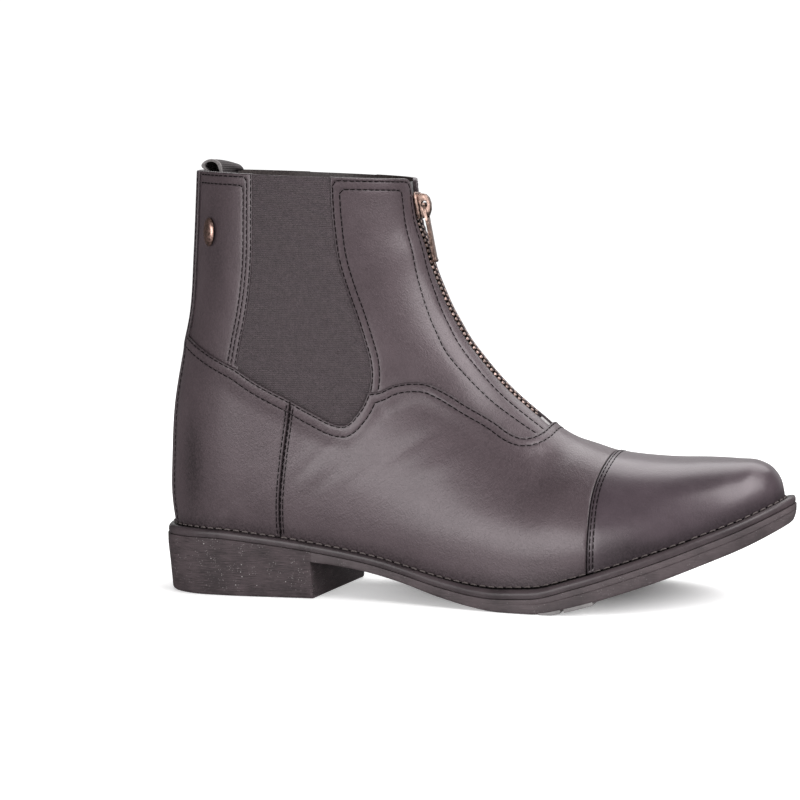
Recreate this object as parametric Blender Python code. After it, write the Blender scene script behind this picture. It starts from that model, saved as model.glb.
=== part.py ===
"""Paddock boot for the right foot, with a front zip, elastic sides, a toe cap, a welt and a low heel.

Metres. X runs from the heel to the toe, Y to the inner side of the foot, Z up, and the origin is on the
floor under the middle of the heel.
"""

import math

import bmesh
import bpy
import numpy as np

# Sizes of the boot
SOLE_LENGTH = 0.300
BALL_WIDTH = 0.103
BOOT_HEIGHT = 0.1975
HEEL_HEIGHT = 0.0225
TOE_SPRING = 0.0366
SOLE_DEPTH = 0.0086
WELT_DEPTH = 0.0045
LEATHER = 0.0020
PANEL = 0.0010
TOE_CAP = 0.0013
INSOLE = 0.0025
HEEL_CENTRE = 0.14 * SOLE_LENGTH

# Clearances
GAP = 0.0003
FEATHER_INSET = 0.0045
WELT_INSIDE = 0.0120
EASE = 0.0120
HALF_WIDTH = BALL_WIDTH

# How finely the faceted solids are cut
RINGS = 27
HALF_RING = 13
STATIONS = 30

# The sole's edge: share of its length, then the half width of the outer and of the inner side as shares
# of the ball's width
OUTLINE = (
    # along, outer, inner
    (0.000, 0.000, 0.000),
    (0.004, 0.087, 0.087),
    (0.020, 0.194, 0.194),
    (0.060, 0.277, 0.277),
    (0.120, 0.311, 0.309),
    (0.200, 0.318, 0.313),
    (0.280, 0.320, 0.305),
    (0.380, 0.335, 0.285),
    (0.500, 0.413, 0.335),
    (0.600, 0.485, 0.425),
    (0.660, 0.505, 0.468),
    (0.720, 0.500, 0.485),
    (0.800, 0.451, 0.455),
    (0.870, 0.374, 0.385),
    (0.930, 0.272, 0.288),
    (0.970, 0.170, 0.184),
    (0.990, 0.092, 0.100),
    (1.000, 0.000, 0.000),
)

# The sole from the side: share of its length, height of its underside as a share of the heel's height
# and as a share of the toe spring, and its depth as a share of the full depth
SOLE_SIDE = (
    # along, by heel, by toe, depth
    (0.00, 0.99, 0.000, 0.580),
    (0.10, 1.00, 0.000, 0.560),
    (0.20, 0.90, 0.000, 0.535),
    (0.28, 0.77, 0.000, 0.510),
    (0.36, 0.61, 0.000, 0.455),
    (0.42, 0.43, 0.000, 0.455),
    (0.48, 0.21, 0.000, 0.520),
    (0.54, 0.05, 0.000, 0.605),
    (0.58, 0.00, 0.000, 0.675),
    (0.63, 0.00, 0.000, 0.780),
    (0.70, 0.00, 0.105, 0.950),
    (0.76, 0.00, 0.250, 0.980),
    (0.82, 0.00, 0.408, 1.000),
    (0.88, 0.00, 0.586, 1.000),
    (0.94, 0.00, 0.770, 1.000),
    (1.00, 0.00, 1.000, 0.930),
)

# Sections of the last, from the toe to the collar. Each lies in a plane across the boot, from a point at
# its bottom or back to a point at its top or front. Along is a share of the sole's length, rise is a
# share of the boot's height above the seat below, widths are shares of the ball's width, widest is the
# share of the way up where the section is widest, floor tells how much of the sole's width the bottom
# has, and the powers round it below and above.
SECTIONS = (
    # bottom along, bottom rise, top along, top rise, outer, inner, widest, floor, low power, top power
    (0.9810, -0.050, 0.9815, 0.014, 0.022, 0.022, 0.40, 1.0, 2.4, 2.4),
    (0.9755, -0.050, 0.9765, 0.044, 0.080, 0.082, 0.38, 1.0, 2.4, 2.3),
    (0.9640, -0.050, 0.9650, 0.077, 0.132, 0.138, 0.36, 1.0, 2.4, 2.2),
    (0.9440, -0.050, 0.9450, 0.106, 0.195, 0.204, 0.34, 1.0, 2.4, 2.2),
    (0.9130, -0.050, 0.9133, 0.129, 0.262, 0.274, 0.32, 1.0, 2.4, 2.2),
    (0.8700, -0.050, 0.8700, 0.155, 0.328, 0.336, 0.31, 1.0, 2.4, 2.2),
    (0.8200, -0.050, 0.8200, 0.182, 0.385, 0.384, 0.30, 1.0, 2.4, 2.2),
    (0.7600, -0.050, 0.7640, 0.216, 0.430, 0.418, 0.29, 1.0, 2.4, 2.1),
    (0.7000, -0.050, 0.7280, 0.242, 0.452, 0.426, 0.29, 1.0, 2.4, 2.1),
    (0.6300, -0.050, 0.6900, 0.279, 0.452, 0.408, 0.30, 1.0, 2.4, 2.1),
    (0.5550, -0.050, 0.6620, 0.309, 0.430, 0.368, 0.32, 1.0, 2.4, 2.0),
    (0.4650, -0.050, 0.6280, 0.349, 0.396, 0.330, 0.34, 1.0, 2.4, 2.0),
    (0.3700, -0.050, 0.5970, 0.389, 0.368, 0.318, 0.36, 1.0, 2.4, 2.0),
    (0.2700, -0.050, 0.5680, 0.430, 0.354, 0.326, 0.37, 1.0, 2.4, 2.0),
    (0.1650, -0.050, 0.5415, 0.471, 0.350, 0.336, 0.38, 1.0, 2.3, 2.0),
    (0.0750, -0.050, 0.5180, 0.511, 0.349, 0.343, 0.38, 1.0, 2.2, 2.0),
    (0.0330, -0.050, 0.5070, 0.530, 0.349, 0.346, 0.39, 1.0, 2.2, 2.0),
    (0.0180, -0.045, 0.4990, 0.546, 0.350, 0.348, 0.39, 0.0, 2.2, 2.0),
    (0.0120, 0.000, 0.4930, 0.561, 0.351, 0.350, 0.39, 0.0, 2.2, 2.0),
    (0.0080, 0.055, 0.4785, 0.596, 0.353, 0.352, 0.40, 0.0, 2.2, 2.0),
    (0.0105, 0.155, 0.4615, 0.648, 0.358, 0.357, 0.42, 0.0, 2.2, 2.0),
    (0.0180, 0.275, 0.4500, 0.690, 0.364, 0.363, 0.44, 0.0, 2.2, 2.0),
    (0.0330, 0.385, 0.4410, 0.735, 0.371, 0.370, 0.46, 0.0, 2.2, 2.0),
    (0.0530, 0.500, 0.4295, 0.782, 0.379, 0.378, 0.47, 0.0, 2.2, 2.0),
    (0.0635, 0.650, 0.4235, 0.830, 0.387, 0.386, 0.48, 0.0, 2.2, 2.0),
    (0.0738, 0.845, 0.4200, 0.882, 0.392, 0.391, 0.49, 0.0, 2.2, 2.0),
)

# Lines seen from the side, as shares of the sole's length and of the boot's height
GORE_REAR = (
    # along, height
    (0.206, 1.080),
    (0.202, 0.900),
    (0.198, 0.789),
    (0.185, 0.671),
    (0.173, 0.602),
    (0.164, 0.545),
    (0.196, 0.513),
    (0.248, 0.471),
    (0.284, 0.440),
)
GORE_FRONT = (
    # along, height
    (0.334, 0.405),
    (0.345, 0.424),
    (0.360, 0.454),
    (0.369, 0.487),
    (0.372, 0.520),
    (0.370, 0.560),
    (0.363, 0.602),
    (0.352, 0.663),
    (0.340, 0.725),
    (0.330, 0.790),
    (0.325, 0.880),
    (0.326, 1.080),
)
QUARTER_TOP = (
    # along, height
    (-0.080, 0.730),
    (0.065, 0.619),
    (0.146, 0.557),
    (0.164, 0.545),
    (0.200, 0.560),
    (0.251, 0.520),
)
QUARTER_SEAM = (
    # along, height
    (0.251, 0.471),
    (0.234, 0.327),
    (0.226, 0.231),
    (0.223, 0.162),
    (0.222, 0.000),
)
VAMP_TOP = (
    # along, height
    (0.280, 0.500),
    (0.360, 0.490),
    (0.384, 0.487),
    (0.402, 0.500),
    (0.432, 0.507),
    (0.456, 0.503),
    (0.476, 0.489),
    (0.519, 0.449),
    (0.561, 0.411),
    (0.583, 0.388),
    (0.603, 0.377),
    (0.616, 0.380),
    (0.626, 0.390),
    (0.634, 0.420),
    (0.650, 0.520),
)
TOE_SEAM = (
    # along, height
    (0.740, 0.450),
    (0.728, 0.335),
    (0.721, 0.290),
    (0.717, 0.170),
    (0.714, 0.000),
)
# The backstay seen from behind: height, then its half width as a share of the ball's width
BACKSTAY = (
    # height, half width
    (1.080, 0.235),
    (0.800, 0.228),
    (0.620, 0.215),
    (0.360, 0.198),
    (0.000, 0.170),
)

# Front zip
THROAT = 0.0088
CHAIN_WIDTH = 0.0056
CHAIN_DEPTH = 0.0014
TAPE_WIDTH = 0.0220
TAPE_DEPTH = 0.0009
ZIP_FOOT = 0.630
SLIDER_HEIGHT = 0.0126
SLIDER_WIDTH = 0.0080
SLIDER_AT = 0.910
BRIDGE_WIDTH = 0.0030
BRIDGE_REACH = 0.0062
PIVOT_OUT = 0.0033
PIN = 0.0008
PULL_LENGTH = 0.0272
PULL_WIDTH = 0.0046
PULL_LEAN = 9.7

# Heel, tread inserts, loop and stud
BREAST = 0.280
BREAST_TURN = 4.9
INSERTS = ((0.645, 0.679), (0.684, 0.727))
INSERT_DROP = 0.0012
INSERT_INSET = 0.0001
LOOP_WIDTH = 0.0220
LOOP_RISE = 0.0048
LOOP_DEPTH = 0.0075
STUD_ALONG = 0.122
STUD_HEIGHT = 0.861
STUD_SIZE = 0.0135

# Clear the scene, then make one collection for the parts and one for the cutters
for old in list(bpy.data.objects):
    bpy.data.objects.remove(old, do_unlink=True)
parts = bpy.data.collections.new("boot_parts")
cutters = bpy.data.collections.new("boot_cutters")
bpy.context.scene.collection.children.link(parts)
bpy.context.scene.collection.children.link(cutters)


def cubic(knots, values, at, level=False):
    """A smooth curve through the rows. With level set, it never passes beyond a row's value."""
    knots = np.asarray(knots, float)
    values = np.asarray(values, float)
    at = np.clip(np.asarray(at, float), knots[0], knots[-1])
    span = np.diff(knots)
    rate = np.diff(values) / span
    slope = np.empty_like(values)
    slope[1:-1] = (span[1:] * rate[:-1] + span[:-1] * rate[1:]) / (span[1:] + span[:-1])
    slope[0] = rate[0]
    slope[-1] = rate[-1]
    if level:
        most = 3 * np.minimum(abs(rate[:-1]), abs(rate[1:]))
        slope[1:-1] = np.clip(slope[1:-1], -most, most)
        slope[1:-1][rate[:-1] * rate[1:] <= 0] = 0
    i = np.clip(np.searchsorted(knots, at, side="right") - 1, 0, len(span) - 1)
    t = (at - knots[i]) / span[i]
    start = values[i] * (1 + 2 * t) * (1 - t) ** 2 + slope[i] * span[i] * t * (1 - t) ** 2
    end = values[i + 1] * t * t * (3 - 2 * t) + slope[i + 1] * span[i] * t * t * (t - 1)
    return start + end


def along(share):
    """X of a place given as a share of the sole's length from its rear end."""
    return np.asarray(share) * SOLE_LENGTH - HEEL_CENTRE


def underside(x):
    """Height of the outsole's underside."""
    rows = np.array(SOLE_SIDE)
    by_heel = cubic(along(rows[:, 0]), rows[:, 1], x, level=True) * HEEL_HEIGHT
    by_toe = cubic(along(rows[:, 0]), rows[:, 2], x, level=True) * TOE_SPRING
    return by_heel + by_toe


def sole_top(x):
    """Height of the outsole's edge, where the welt sits."""
    rows = np.array(SOLE_SIDE)
    return underside(x) + cubic(along(rows[:, 0]), rows[:, 3], x, level=True) * SOLE_DEPTH


def seat(x):
    """Height of the line where the upper meets the welt."""
    return sole_top(x) + WELT_DEPTH


def outline(inset=0.0, count=STATIONS):
    """Points of the sole's edge drawn in by inset: the outer side from heel to toe, then the inner side
    back to the heel."""
    rows = np.array(OUTLINE)
    x = along(rows[:, 0])
    wide = rows[:, 1:].mean(axis=1) * BALL_WIDTH
    knots = np.concatenate([[0], np.cumsum(np.hypot(np.diff(x), np.diff(wide)))])
    at = np.linspace(0, knots[-1], count + 1)
    middle = cubic(knots, x, at)
    outer = np.column_stack([middle, -cubic(knots, rows[:, 1] * BALL_WIDTH, at)])
    inner = np.column_stack([middle, cubic(knots, rows[:, 2] * BALL_WIDTH, at)])
    loop = np.vstack([outer, inner[-2:0:-1]])
    run = np.roll(loop, -1, axis=0) - np.roll(loop, 1, axis=0)
    run /= np.linalg.norm(run, axis=1)[:, None]
    return loop + inset * np.column_stack([-run[:, 1], run[:, 0]])


def edge_width(x, side, inset):
    """Half width of the sole's edge at x on one side, -1 for the outer and 1 for the inner."""
    loop = outline(inset, 160)
    line = loop[:161] if side < 0 else np.vstack([loop[:1], loop[:159:-1]])
    return float(np.interp(x, line[:, 0], abs(line[:, 1]), left=0, right=0))


def ladder(count):
    """Faces that close a loop of 2 * count points straight across."""
    last = 2 * count
    faces = [(0, 1, last - 1), (count - 1, count, count + 1)]
    faces += [(j, j + 1, last - j - 1, last - j) for j in range(1, count - 1)]
    return faces


def new_mesh(name, points, faces, where):
    """An object from points and faces, with its faces turned out."""
    mesh = bpy.data.meshes.new(name)
    mesh.from_pydata([tuple(map(float, point)) for point in points], [], faces)
    made = bmesh.new()
    made.from_mesh(mesh)
    bmesh.ops.recalc_face_normals(made, faces=made.faces)
    made.to_mesh(mesh)
    made.free()
    piece = bpy.data.objects.new(name, mesh)
    where.objects.link(piece)
    if where == cutters:
        piece.hide_render = True
        piece.display_type = "WIRE"
    return piece


def stack(name, levels, where=parts, ring=False):
    """A solid from loops of the sole's outline, one for each (inset, height) with height a function
    of x. A ring joins its last loop to its first, and has no caps."""
    points = []
    for inset, height in levels:
        loop = outline(inset)
        points += [(x, y, height(x)) for x, y in loop]
    size = 2 * STATIONS
    count = len(levels)
    faces = []
    for i in range(count if ring else count - 1):
        here = i * size
        above = (i + 1) % count * size
        faces += [
            (here + j, here + (j + 1) % size, above + (j + 1) % size, above + j) for j in range(size)
        ]
    if not ring:
        faces += ladder(STATIONS)
        faces += [tuple(i + (count - 1) * size for i in face) for face in ladder(STATIONS)]
    return new_mesh(name, points, faces, where)


def half_section(width, floor, widest, low, top, height):
    """(height, half width) at even steps up one side of a section."""
    keep = (1 - min(floor / width, 0.97) ** low) ** (1 / low)
    turn = np.linspace(0, math.pi / 2, 30)
    rise = 1 - np.cos(turn)
    lower = np.column_stack([widest * rise, width * (1 - (keep * (1 - rise)) ** low) ** (1 / low)])
    reach = np.sin(turn[1:])
    upper = np.column_stack(
        [widest + (1 - widest) * reach, width * np.clip(1 - reach**top, 0, 1) ** (1 / top)]
    )
    line = np.vstack([[0, 0], lower, upper]) * [height, 1]
    weight = np.hypot(*np.diff(line, axis=0).T)
    weight[0] *= 0.3
    length = np.concatenate([[0], np.cumsum(weight)])
    at = np.linspace(0, length[-1], HALF_RING + 1)
    return np.column_stack([np.interp(at, length, line[:, 0]), np.interp(at, length, line[:, 1])])


def last_grid():
    """Points on the outside of the leather, ring by ring from the toe to the collar."""
    rows = np.array(SECTIONS)
    low = np.column_stack([along(rows[:, 0]), seat(along(rows[:, 0])) + rows[:, 1] * BOOT_HEIGHT])
    high = np.column_stack([along(rows[:, 2]), seat(along(rows[:, 2])) + rows[:, 3] * BOOT_HEIGHT])
    step = np.hypot(*np.diff(low, axis=0).T) + np.hypot(*np.diff(high, axis=0).T)
    knots = np.concatenate([[0], np.cumsum(step)])
    at = np.interp(np.linspace(0, len(rows) - 1, RINGS), np.arange(len(rows)), knots)
    columns = np.column_stack([low, high, rows[:, 4:]])
    grid = []
    for row in np.column_stack([cubic(knots, column, at) for column in columns.T]):
        bottom = row[:2]
        top = row[2:4]
        sides = []
        for side, width in ((-1, row[4]), (1, row[5])):
            floor = max(row[7], 0) * edge_width(bottom[0], side, FEATHER_INSET + 0.0015)
            height = np.linalg.norm(top - bottom)
            line = half_section(width * BALL_WIDTH, floor, row[6], row[8], row[9], height)
            place = bottom + np.outer(line[:, 0] / height, top - bottom)
            sides.append(np.column_stack([place[:, 0], side * line[:, 1], place[:, 1]]))
        grid.append(np.vstack([sides[0], sides[1][-2:0:-1]]))
    return np.array(grid)


def grid_normals(grid):
    """Directions that point out of the boot at each point of the grid."""
    round_it = np.roll(grid, -1, axis=1) - np.roll(grid, 1, axis=1)
    up_it = np.gradient(grid, axis=0)
    normal = np.cross(round_it, up_it)
    normal /= np.linalg.norm(normal, axis=2)[:, :, None]
    out = grid - grid.mean(axis=1)[:, None, :]
    sign = np.sign((normal * out).sum(axis=2).sum())
    return normal * sign


def ease(share):
    share = np.clip(share, 0, 1)
    return share * share * (3 - 2 * share)


def sunk(grid, normals):
    """The leather lies deeper under the panels that are sewn over it, so that their outside is the
    boot's. It goes down over a short way from each panel's edge."""
    x = grid[:, :, 0]
    edge = np.array(QUARTER_TOP[:4] + GORE_REAR[6:] + GORE_FRONT[:4] + VAMP_TOP[3:-2])
    below = np.interp(x, along(edge[:, 0]), edge[:, 1] * BOOT_HEIGHT) - grid[:, :, 2]
    under = ease(below / EASE)
    under[x > along(VAMP_TOP[-2][0])] = 1
    stay = np.array(BACKSTAY)[::-1]
    half = np.interp(grid[:, :, 2], stay[:, 0] * BOOT_HEIGHT, stay[:, 1] * BALL_WIDTH)
    behind = ease((half - abs(grid[:, :, 1])) / EASE) * (x < along(0.2))
    return grid - normals * (np.maximum(under, behind) * (PANEL + GAP))[:, :, None]


SKIN = last_grid()
LAST = sunk(SKIN, grid_normals(SKIN))
NORMALS = grid_normals(LAST)


def quads_of_grid():
    """Corners of the grid's quads, ring by ring."""
    size = 2 * HALF_RING
    low = np.array([(i * size + j, i * size + (j + 1) % size) for i in range(RINGS - 1) for j in range(size)])
    return np.column_stack([low, low[:, ::-1] + size])


def split(quads):
    """Each quad as two triangles along the same diagonal."""
    return [(int(a), int(b), int(c)) for a, b, c, d in quads] + [
        (int(a), int(c), int(d)) for a, b, c, d in quads
    ]


def inside_width(x, side, height):
    """Half widths at x of the room inside the leather, at a height over the seat, on one side of the boot,
    -1 for the outer and 1 for the inner. The ends of x are set where that room ends."""
    columns = np.arange(HALF_RING + 1) * -side
    grid = (LAST - NORMALS * (LEATHER + GAP))[:, columns]
    later = slice(1, None)
    sooner = slice(None, -1)
    whole = slice(None)
    slanted = ((sooner, sooner), (later, later)) if side < 0 else ((sooner, later), (later, sooner))
    found = []
    for one, other in (((sooner, whole), (later, whole)), ((whole, sooner), (whole, later)), slanted):
        start = grid[one]
        end = grid[other]
        low = start[:, :, 2] - seat(start[:, :, 0]) - height
        high = end[:, :, 2] - seat(end[:, :, 0]) - height
        crossing = (low < 0) != (high < 0)
        share = low[crossing] / (low[crossing] - high[crossing])
        found.append(start[crossing] + (end[crossing] - start[crossing]) * share[:, None])
    line = np.vstack(found)
    line = line[np.argsort(line[:, 0])]
    ends = line[0, 0], line[-1, 0]
    at = ends[0] + (ends[1] - ends[0]) * x
    near = abs(line[:, 0] - at[:, None]) < EASE / 6
    least = np.where(near, abs(line[:, 1]), HALF_WIDTH).min(axis=1)
    return at, np.minimum(np.interp(at, line[:, 0], abs(line[:, 1])), least)


def shell(name, outer, inner, keep, toe=False):
    """What lies between the last grown by outer and by inner, where keep, a function of the places of a
    quad's corners, is true. With toe it goes on round the tip of the toe."""
    base = LAST.reshape(-1, 3)
    quads = quads_of_grid()
    corners = base[quads]
    quads = quads[keep(corners[:, :, 0], corners[:, :, 1], corners[:, :, 2])]
    skin = split(quads)
    if toe:
        skin += ladder(HALF_RING)
    used = sorted({i for face in skin for i in face})
    place = {old: new for new, old in enumerate(used)}
    skin = [tuple(place[i] for i in face) for face in skin]
    flat = NORMALS.reshape(-1, 3)
    count = len(used)
    points = np.vstack([base[used] + flat[used] * outer, base[used] + flat[used] * inner])
    edges = {}
    for face in skin:
        for a, b in zip(face, face[1:] + face[:1]):
            edges.setdefault((min(a, b), max(a, b)), []).append((a, b))
    rim = [ends[0] for ends in edges.values() if len(ends) == 1]
    faces = skin + [tuple(i + count for i in face) for face in skin]
    faces += [(a, b, b + count, a + count) for a, b in rim]
    return new_mesh(name, points, faces, parts)


def prism(name, line, low, high, where=cutters, lengthwise=False):
    """A closed line of (x, z) drawn out from y = low to y = high, or of (y, z) drawn out along x."""
    count = len(line)
    points = []
    for level in (low, high):
        points += [(level, a, z) if lengthwise else (a, level, z) for a, z in line]
    faces = [tuple(range(count)), tuple(range(count, 2 * count))]
    faces += [(i, (i + 1) % count, count + (i + 1) % count, count + i) for i in range(count)]
    return new_mesh(name, points, faces, where)


def side_line(*tables):
    """Rows of (along, height) as metres."""
    return [(float(along(a)), h * BOOT_HEIGHT) for table in tables for a, h in table]


def drawn_in(line, by):
    """A closed line with each of its points moved in by the given way. Below zero it grows."""
    line = np.array(line, float)
    before = line - np.roll(line, 1, axis=0)
    after = np.roll(line, -1, axis=0) - line
    turn = np.sum(before[:, 0] * after[:, 1] - before[:, 1] * after[:, 0])
    before = np.column_stack([-before[:, 1], before[:, 0]]) / np.hypot(*before.T)[:, None]
    after = np.column_stack([-after[:, 1], after[:, 0]]) / np.hypot(*after.T)[:, None]
    both = before + after
    both /= np.clip((both * before).sum(axis=1), 0.5, None)[:, None]
    return line + np.sign(turn) * by * both


def cut(piece, cutter, how="DIFFERENCE"):
    """A live Boolean on the piece."""
    step = piece.modifiers.new(cutter.name, "BOOLEAN")
    step.operation = how
    step.solver = "EXACT"
    step.object = cutter


def smooth_shade(piece, angle=40):
    """Round faces shaded smooth, with an edge where they turn by more than the angle."""
    for face in piece.data.polygons:
        face.use_smooth = True
    piece.data.set_sharp_from_angle(angle=math.radians(angle))


def paint(piece, name, colour, metallic, roughness):
    material = bpy.data.materials.get(name) or bpy.data.materials.new(name)
    material.use_nodes = True
    shader = material.node_tree.nodes["Principled BSDF"]
    shader.inputs["Base Color"].default_value = (*colour, 1)
    shader.inputs["Metallic"].default_value = metallic
    shader.inputs["Roughness"].default_value = roughness
    piece.data.materials.clear()
    piece.data.materials.append(material)


# Everything below the welt's top is cut from the leather
FLOOR = -0.05
line = np.linspace(along(-0.1), along(1.1), 49)
SEAT_CUT = prism(
    "seat_cut",
    [(x, float(seat(x)) + GAP) for x in line] + [(line[-1], FLOOR), (line[0], FLOOR)],
    -HALF_WIDTH,
    HALF_WIDTH,
)
GORE_LINE = side_line(GORE_REAR, GORE_FRONT)
GORE_CUT = prism("gore_cut", GORE_LINE, -HALF_WIDTH, HALF_WIDTH)


def front_line(count=20):
    """Points down the middle of the zip, from above the collar to the zip's foot, and the directions
    out of the boot there."""
    middle = LAST[::-1, HALF_RING][:, [0, 2]]
    normal = NORMALS[::-1, HALF_RING][:, [0, 2]]
    top = middle[0] + (middle[0] - middle[1]) * 0.5
    middle = np.vstack([top, middle])
    normal = np.vstack([normal[0], normal])
    length = np.concatenate([[0], np.cumsum(np.hypot(*np.diff(middle, axis=0).T))])
    foot = np.interp(along(ZIP_FOOT), middle[:, 0], length)
    at = np.linspace(0, foot, count)
    points = np.column_stack([np.interp(at, length, middle[:, k]) for k in (0, 1)])
    normals = np.column_stack([np.interp(at, length, normal[:, k]) for k in (0, 1)])
    return points, normals, at


ZIP_POINTS, ZIP_NORMALS, ZIP_WAY = front_line()


def zip_place(way):
    """The point, the direction out and the direction up at a way down the zip."""
    point = np.array([np.interp(way, ZIP_WAY, ZIP_POINTS[:, k]) for k in (0, 1)])
    out = np.array([np.interp(way, ZIP_WAY, ZIP_NORMALS[:, k]) for k in (0, 1)])
    out /= np.hypot(*out)
    return point, out, np.array([-out[1], out[0]])


def zip_band(name, start, end, half_width, deep=0.008):
    """A cutter along the zip, from one way down it to another."""
    inside = [way for way in ZIP_WAY if start < way < end]
    places = [zip_place(way) for way in (start, *inside, end)]
    outer = [point + out * deep for point, out, _ in places]
    inner = [point - out * deep for point, out, _ in places]
    return prism(name, outer + inner[::-1], -half_width, half_width)


collar_way = float(np.interp(-LAST[-1, HALF_RING, 2], -ZIP_POINTS[:, 1], ZIP_WAY))
slider_way = float(np.interp(-SLIDER_AT * BOOT_HEIGHT, -ZIP_POINTS[:, 1], ZIP_WAY))
foot_way = float(ZIP_WAY[-1])
THROAT_CUT = zip_band("throat_cut", 0.0, foot_way, THROAT / 2)


def above_seat(x, y, z):
    """Quads that reach down to a little under the seat."""
    return (z > seat(x) - 0.002).any(axis=1)


def between(start, end, low, high):
    """Quads on both sides of the boot near a stretch of its side view, in shares of length and height."""

    def near(x, y, z):
        inside = (x.max(axis=1) > along(start)) & (x.min(axis=1) < along(end))
        inside &= (z.max(axis=1) > low * BOOT_HEIGHT) & (z.min(axis=1) < high * BOOT_HEIGHT)
        return inside & above_seat(x, y, z)

    return near


upper = shell("upper", 0.0, -LEATHER, above_seat, toe=True)
for cutter in (SEAT_CUT, GORE_CUT, THROAT_CUT):
    cut(upper, cutter)


def panel(name, depth, reach, inside, *without, toe=False):
    """A piece sewn over the leather: what lies between two larger forms, inside a cutter."""
    piece = shell(name, GAP + depth, GAP, reach, toe)
    cut(piece, inside, "INTERSECT")
    for cutter in (SEAT_CUT, *without):
        cut(piece, cutter)
    return piece


# Panels
quarter_line = side_line(QUARTER_TOP, QUARTER_SEAM)
quarter_line = [(x - (GAP / 2 if x > along(0.21) else 0), z) for x, z in quarter_line]
quarter_line += [(float(along(-0.08)), 0.0)]
stay_line = [(share * BALL_WIDTH, height * BOOT_HEIGHT) for height, share in BACKSTAY]
stay_line += [(-y, z) for y, z in stay_line[::-1]]
STAY = prism("stay", stay_line, along(-0.1), along(0.16), lengthwise=True)
STAY_CUT = prism("stay_cut", drawn_in(stay_line, -GAP), along(-0.1), along(0.16), lengthwise=True)
QUARTER_OUTER = prism("quarter_outer_side", quarter_line, -HALF_WIDTH, -0.005)
QUARTER_INNER = prism("quarter_inner_side", quarter_line, 0.005, HALF_WIDTH)
vamp_line = side_line(VAMP_TOP, TOE_SEAM[:1])
vamp_line += [(x - GAP, z) for x, z in side_line(TOE_SEAM[1:])]
vamp_line += [(x + GAP / 2, z) for x, z in side_line(QUARTER_SEAM[::-1])]
VAMP = prism("vamp_side", vamp_line, -HALF_WIDTH, HALF_WIDTH)
cap_line = side_line(TOE_SEAM) + side_line(((1.05, 0.0), (1.05, 0.45)))
CAP = prism("cap_side", cap_line, -HALF_WIDTH, HALF_WIDTH)

heel_reach = between(-0.1, 0.27, 0.0, 0.70)
quarter_outer = panel("quarter_outer", PANEL, heel_reach, QUARTER_OUTER, STAY_CUT, GORE_CUT)
quarter_inner = panel("quarter_inner", PANEL, heel_reach, QUARTER_INNER, STAY_CUT, GORE_CUT)
vamp = panel("vamp", PANEL, between(0.21, 0.75, 0.0, 0.53), VAMP, GORE_CUT, THROAT_CUT)
toe_cap = panel("toe_cap", TOE_CAP, between(0.70, 1.1, 0.0, 0.5), CAP, toe=True)
backstay = panel("backstay", PANEL, between(-0.1, 0.13, 0.0, 1.1), STAY)

# Elastic sides
collar_line = LAST[-1, [0, HALF_RING]][:, [0, 2]]
gore_line = [
    (x, min(z, float(np.interp(x, collar_line[:, 0], collar_line[:, 1])) - 0.0013))
    for x, z in drawn_in(GORE_LINE, GAP)
]
for name, low, high in (("gore_outer", -HALF_WIDTH, -0.005), ("gore_inner", 0.005, HALF_WIDTH)):
    gore = shell(name, -0.0005, -LEATHER + GAP, between(0.14, 0.40, 0.38, 1.1))
    cut(gore, prism(name + "_side", gore_line, low, high), "INTERSECT")
    paint(gore, "elastic", (0.05, 0.047, 0.048), 0.0, 0.9)

# Insole, inside the leather and on the welt
turns = np.linspace(0, math.pi, STATIONS + 1)
shares = (1 - np.cos(turns)) / 2
outer_x, outer_y = inside_width(shares, -1, GAP)
inner_x, inner_y = inside_width(shares, 1, GAP)
outer_y[[0, -1]] = 0
insole_loop = np.vstack(
    [np.column_stack([outer_x, -outer_y]), np.column_stack([inner_x, inner_y])[-2:0:-1]]
)
insole_points = [
    (x, y, float(seat(x)) + GAP + rise) for rise in (0.0, INSOLE) for x, y in insole_loop
]
size = len(insole_loop)
insole_faces = [(j, (j + 1) % size, size + (j + 1) % size, size + j) for j in range(size)]
for start in (0, size):
    insole_faces += [tuple(i + start for i in face) for face in ladder(STATIONS)]
insole = new_mesh("insole", insole_points, insole_faces, parts)
paint(insole, "insole_leather", (0.16, 0.12, 0.09), 0.0, 0.7)

# Sole
outsole = stack(
    "outsole",
    (
        (0.0016, underside),
        (0.0002, lambda x: underside(x) + 0.16 * (sole_top(x) - underside(x))),
        (0.0000, lambda x: underside(x) + 0.45 * (sole_top(x) - underside(x))),
        (0.0000, lambda x: underside(x) + 0.85 * (sole_top(x) - underside(x))),
        (0.0006, sole_top),
        (WELT_INSIDE + GAP, sole_top),
        (WELT_INSIDE + 2 * GAP, lambda x: seat(x) - GAP / 2),
    ),
)
welt = stack(
    "welt",
    (
        (0.0014, lambda x: sole_top(x) + GAP),
        (0.0011, lambda x: sole_top(x) + 0.40 * WELT_DEPTH),
        (0.0020, lambda x: sole_top(x) + 0.75 * WELT_DEPTH),
        (0.0040, lambda x: seat(x) - GAP / 2),
        (WELT_INSIDE, lambda x: seat(x) - GAP / 2),
        (WELT_INSIDE, lambda x: sole_top(x) + GAP),
    ),
    ring=True,
)
heel_block = stack(
    "heel_block",
    (
        (0.0024, lambda x: 0 * x),
        (0.0013, lambda x: 0 * x + 0.0011),
        (0.0004, lambda x: underside(x) - GAP),
    ),
)
turn = math.tan(math.radians(BREAST_TURN))
breast = float(along(BREAST))
front = float(along(1.1))
breast_cut = new_mesh(
    "breast_cut",
    [
        (x + (y * turn if x == breast else 0), y, z)
        for z in (FLOOR, 0.12)
        for x, y in ((breast, -HALF_WIDTH), (front, -HALF_WIDTH), (front, HALF_WIDTH), (breast, HALF_WIDTH))
    ],
    [(0, 1, 2, 3), (4, 5, 6, 7), (0, 1, 5, 4), (1, 2, 6, 5), (2, 3, 7, 6), (3, 0, 4, 7)],
    cutters,
)
cut(heel_block, breast_cut)


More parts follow.
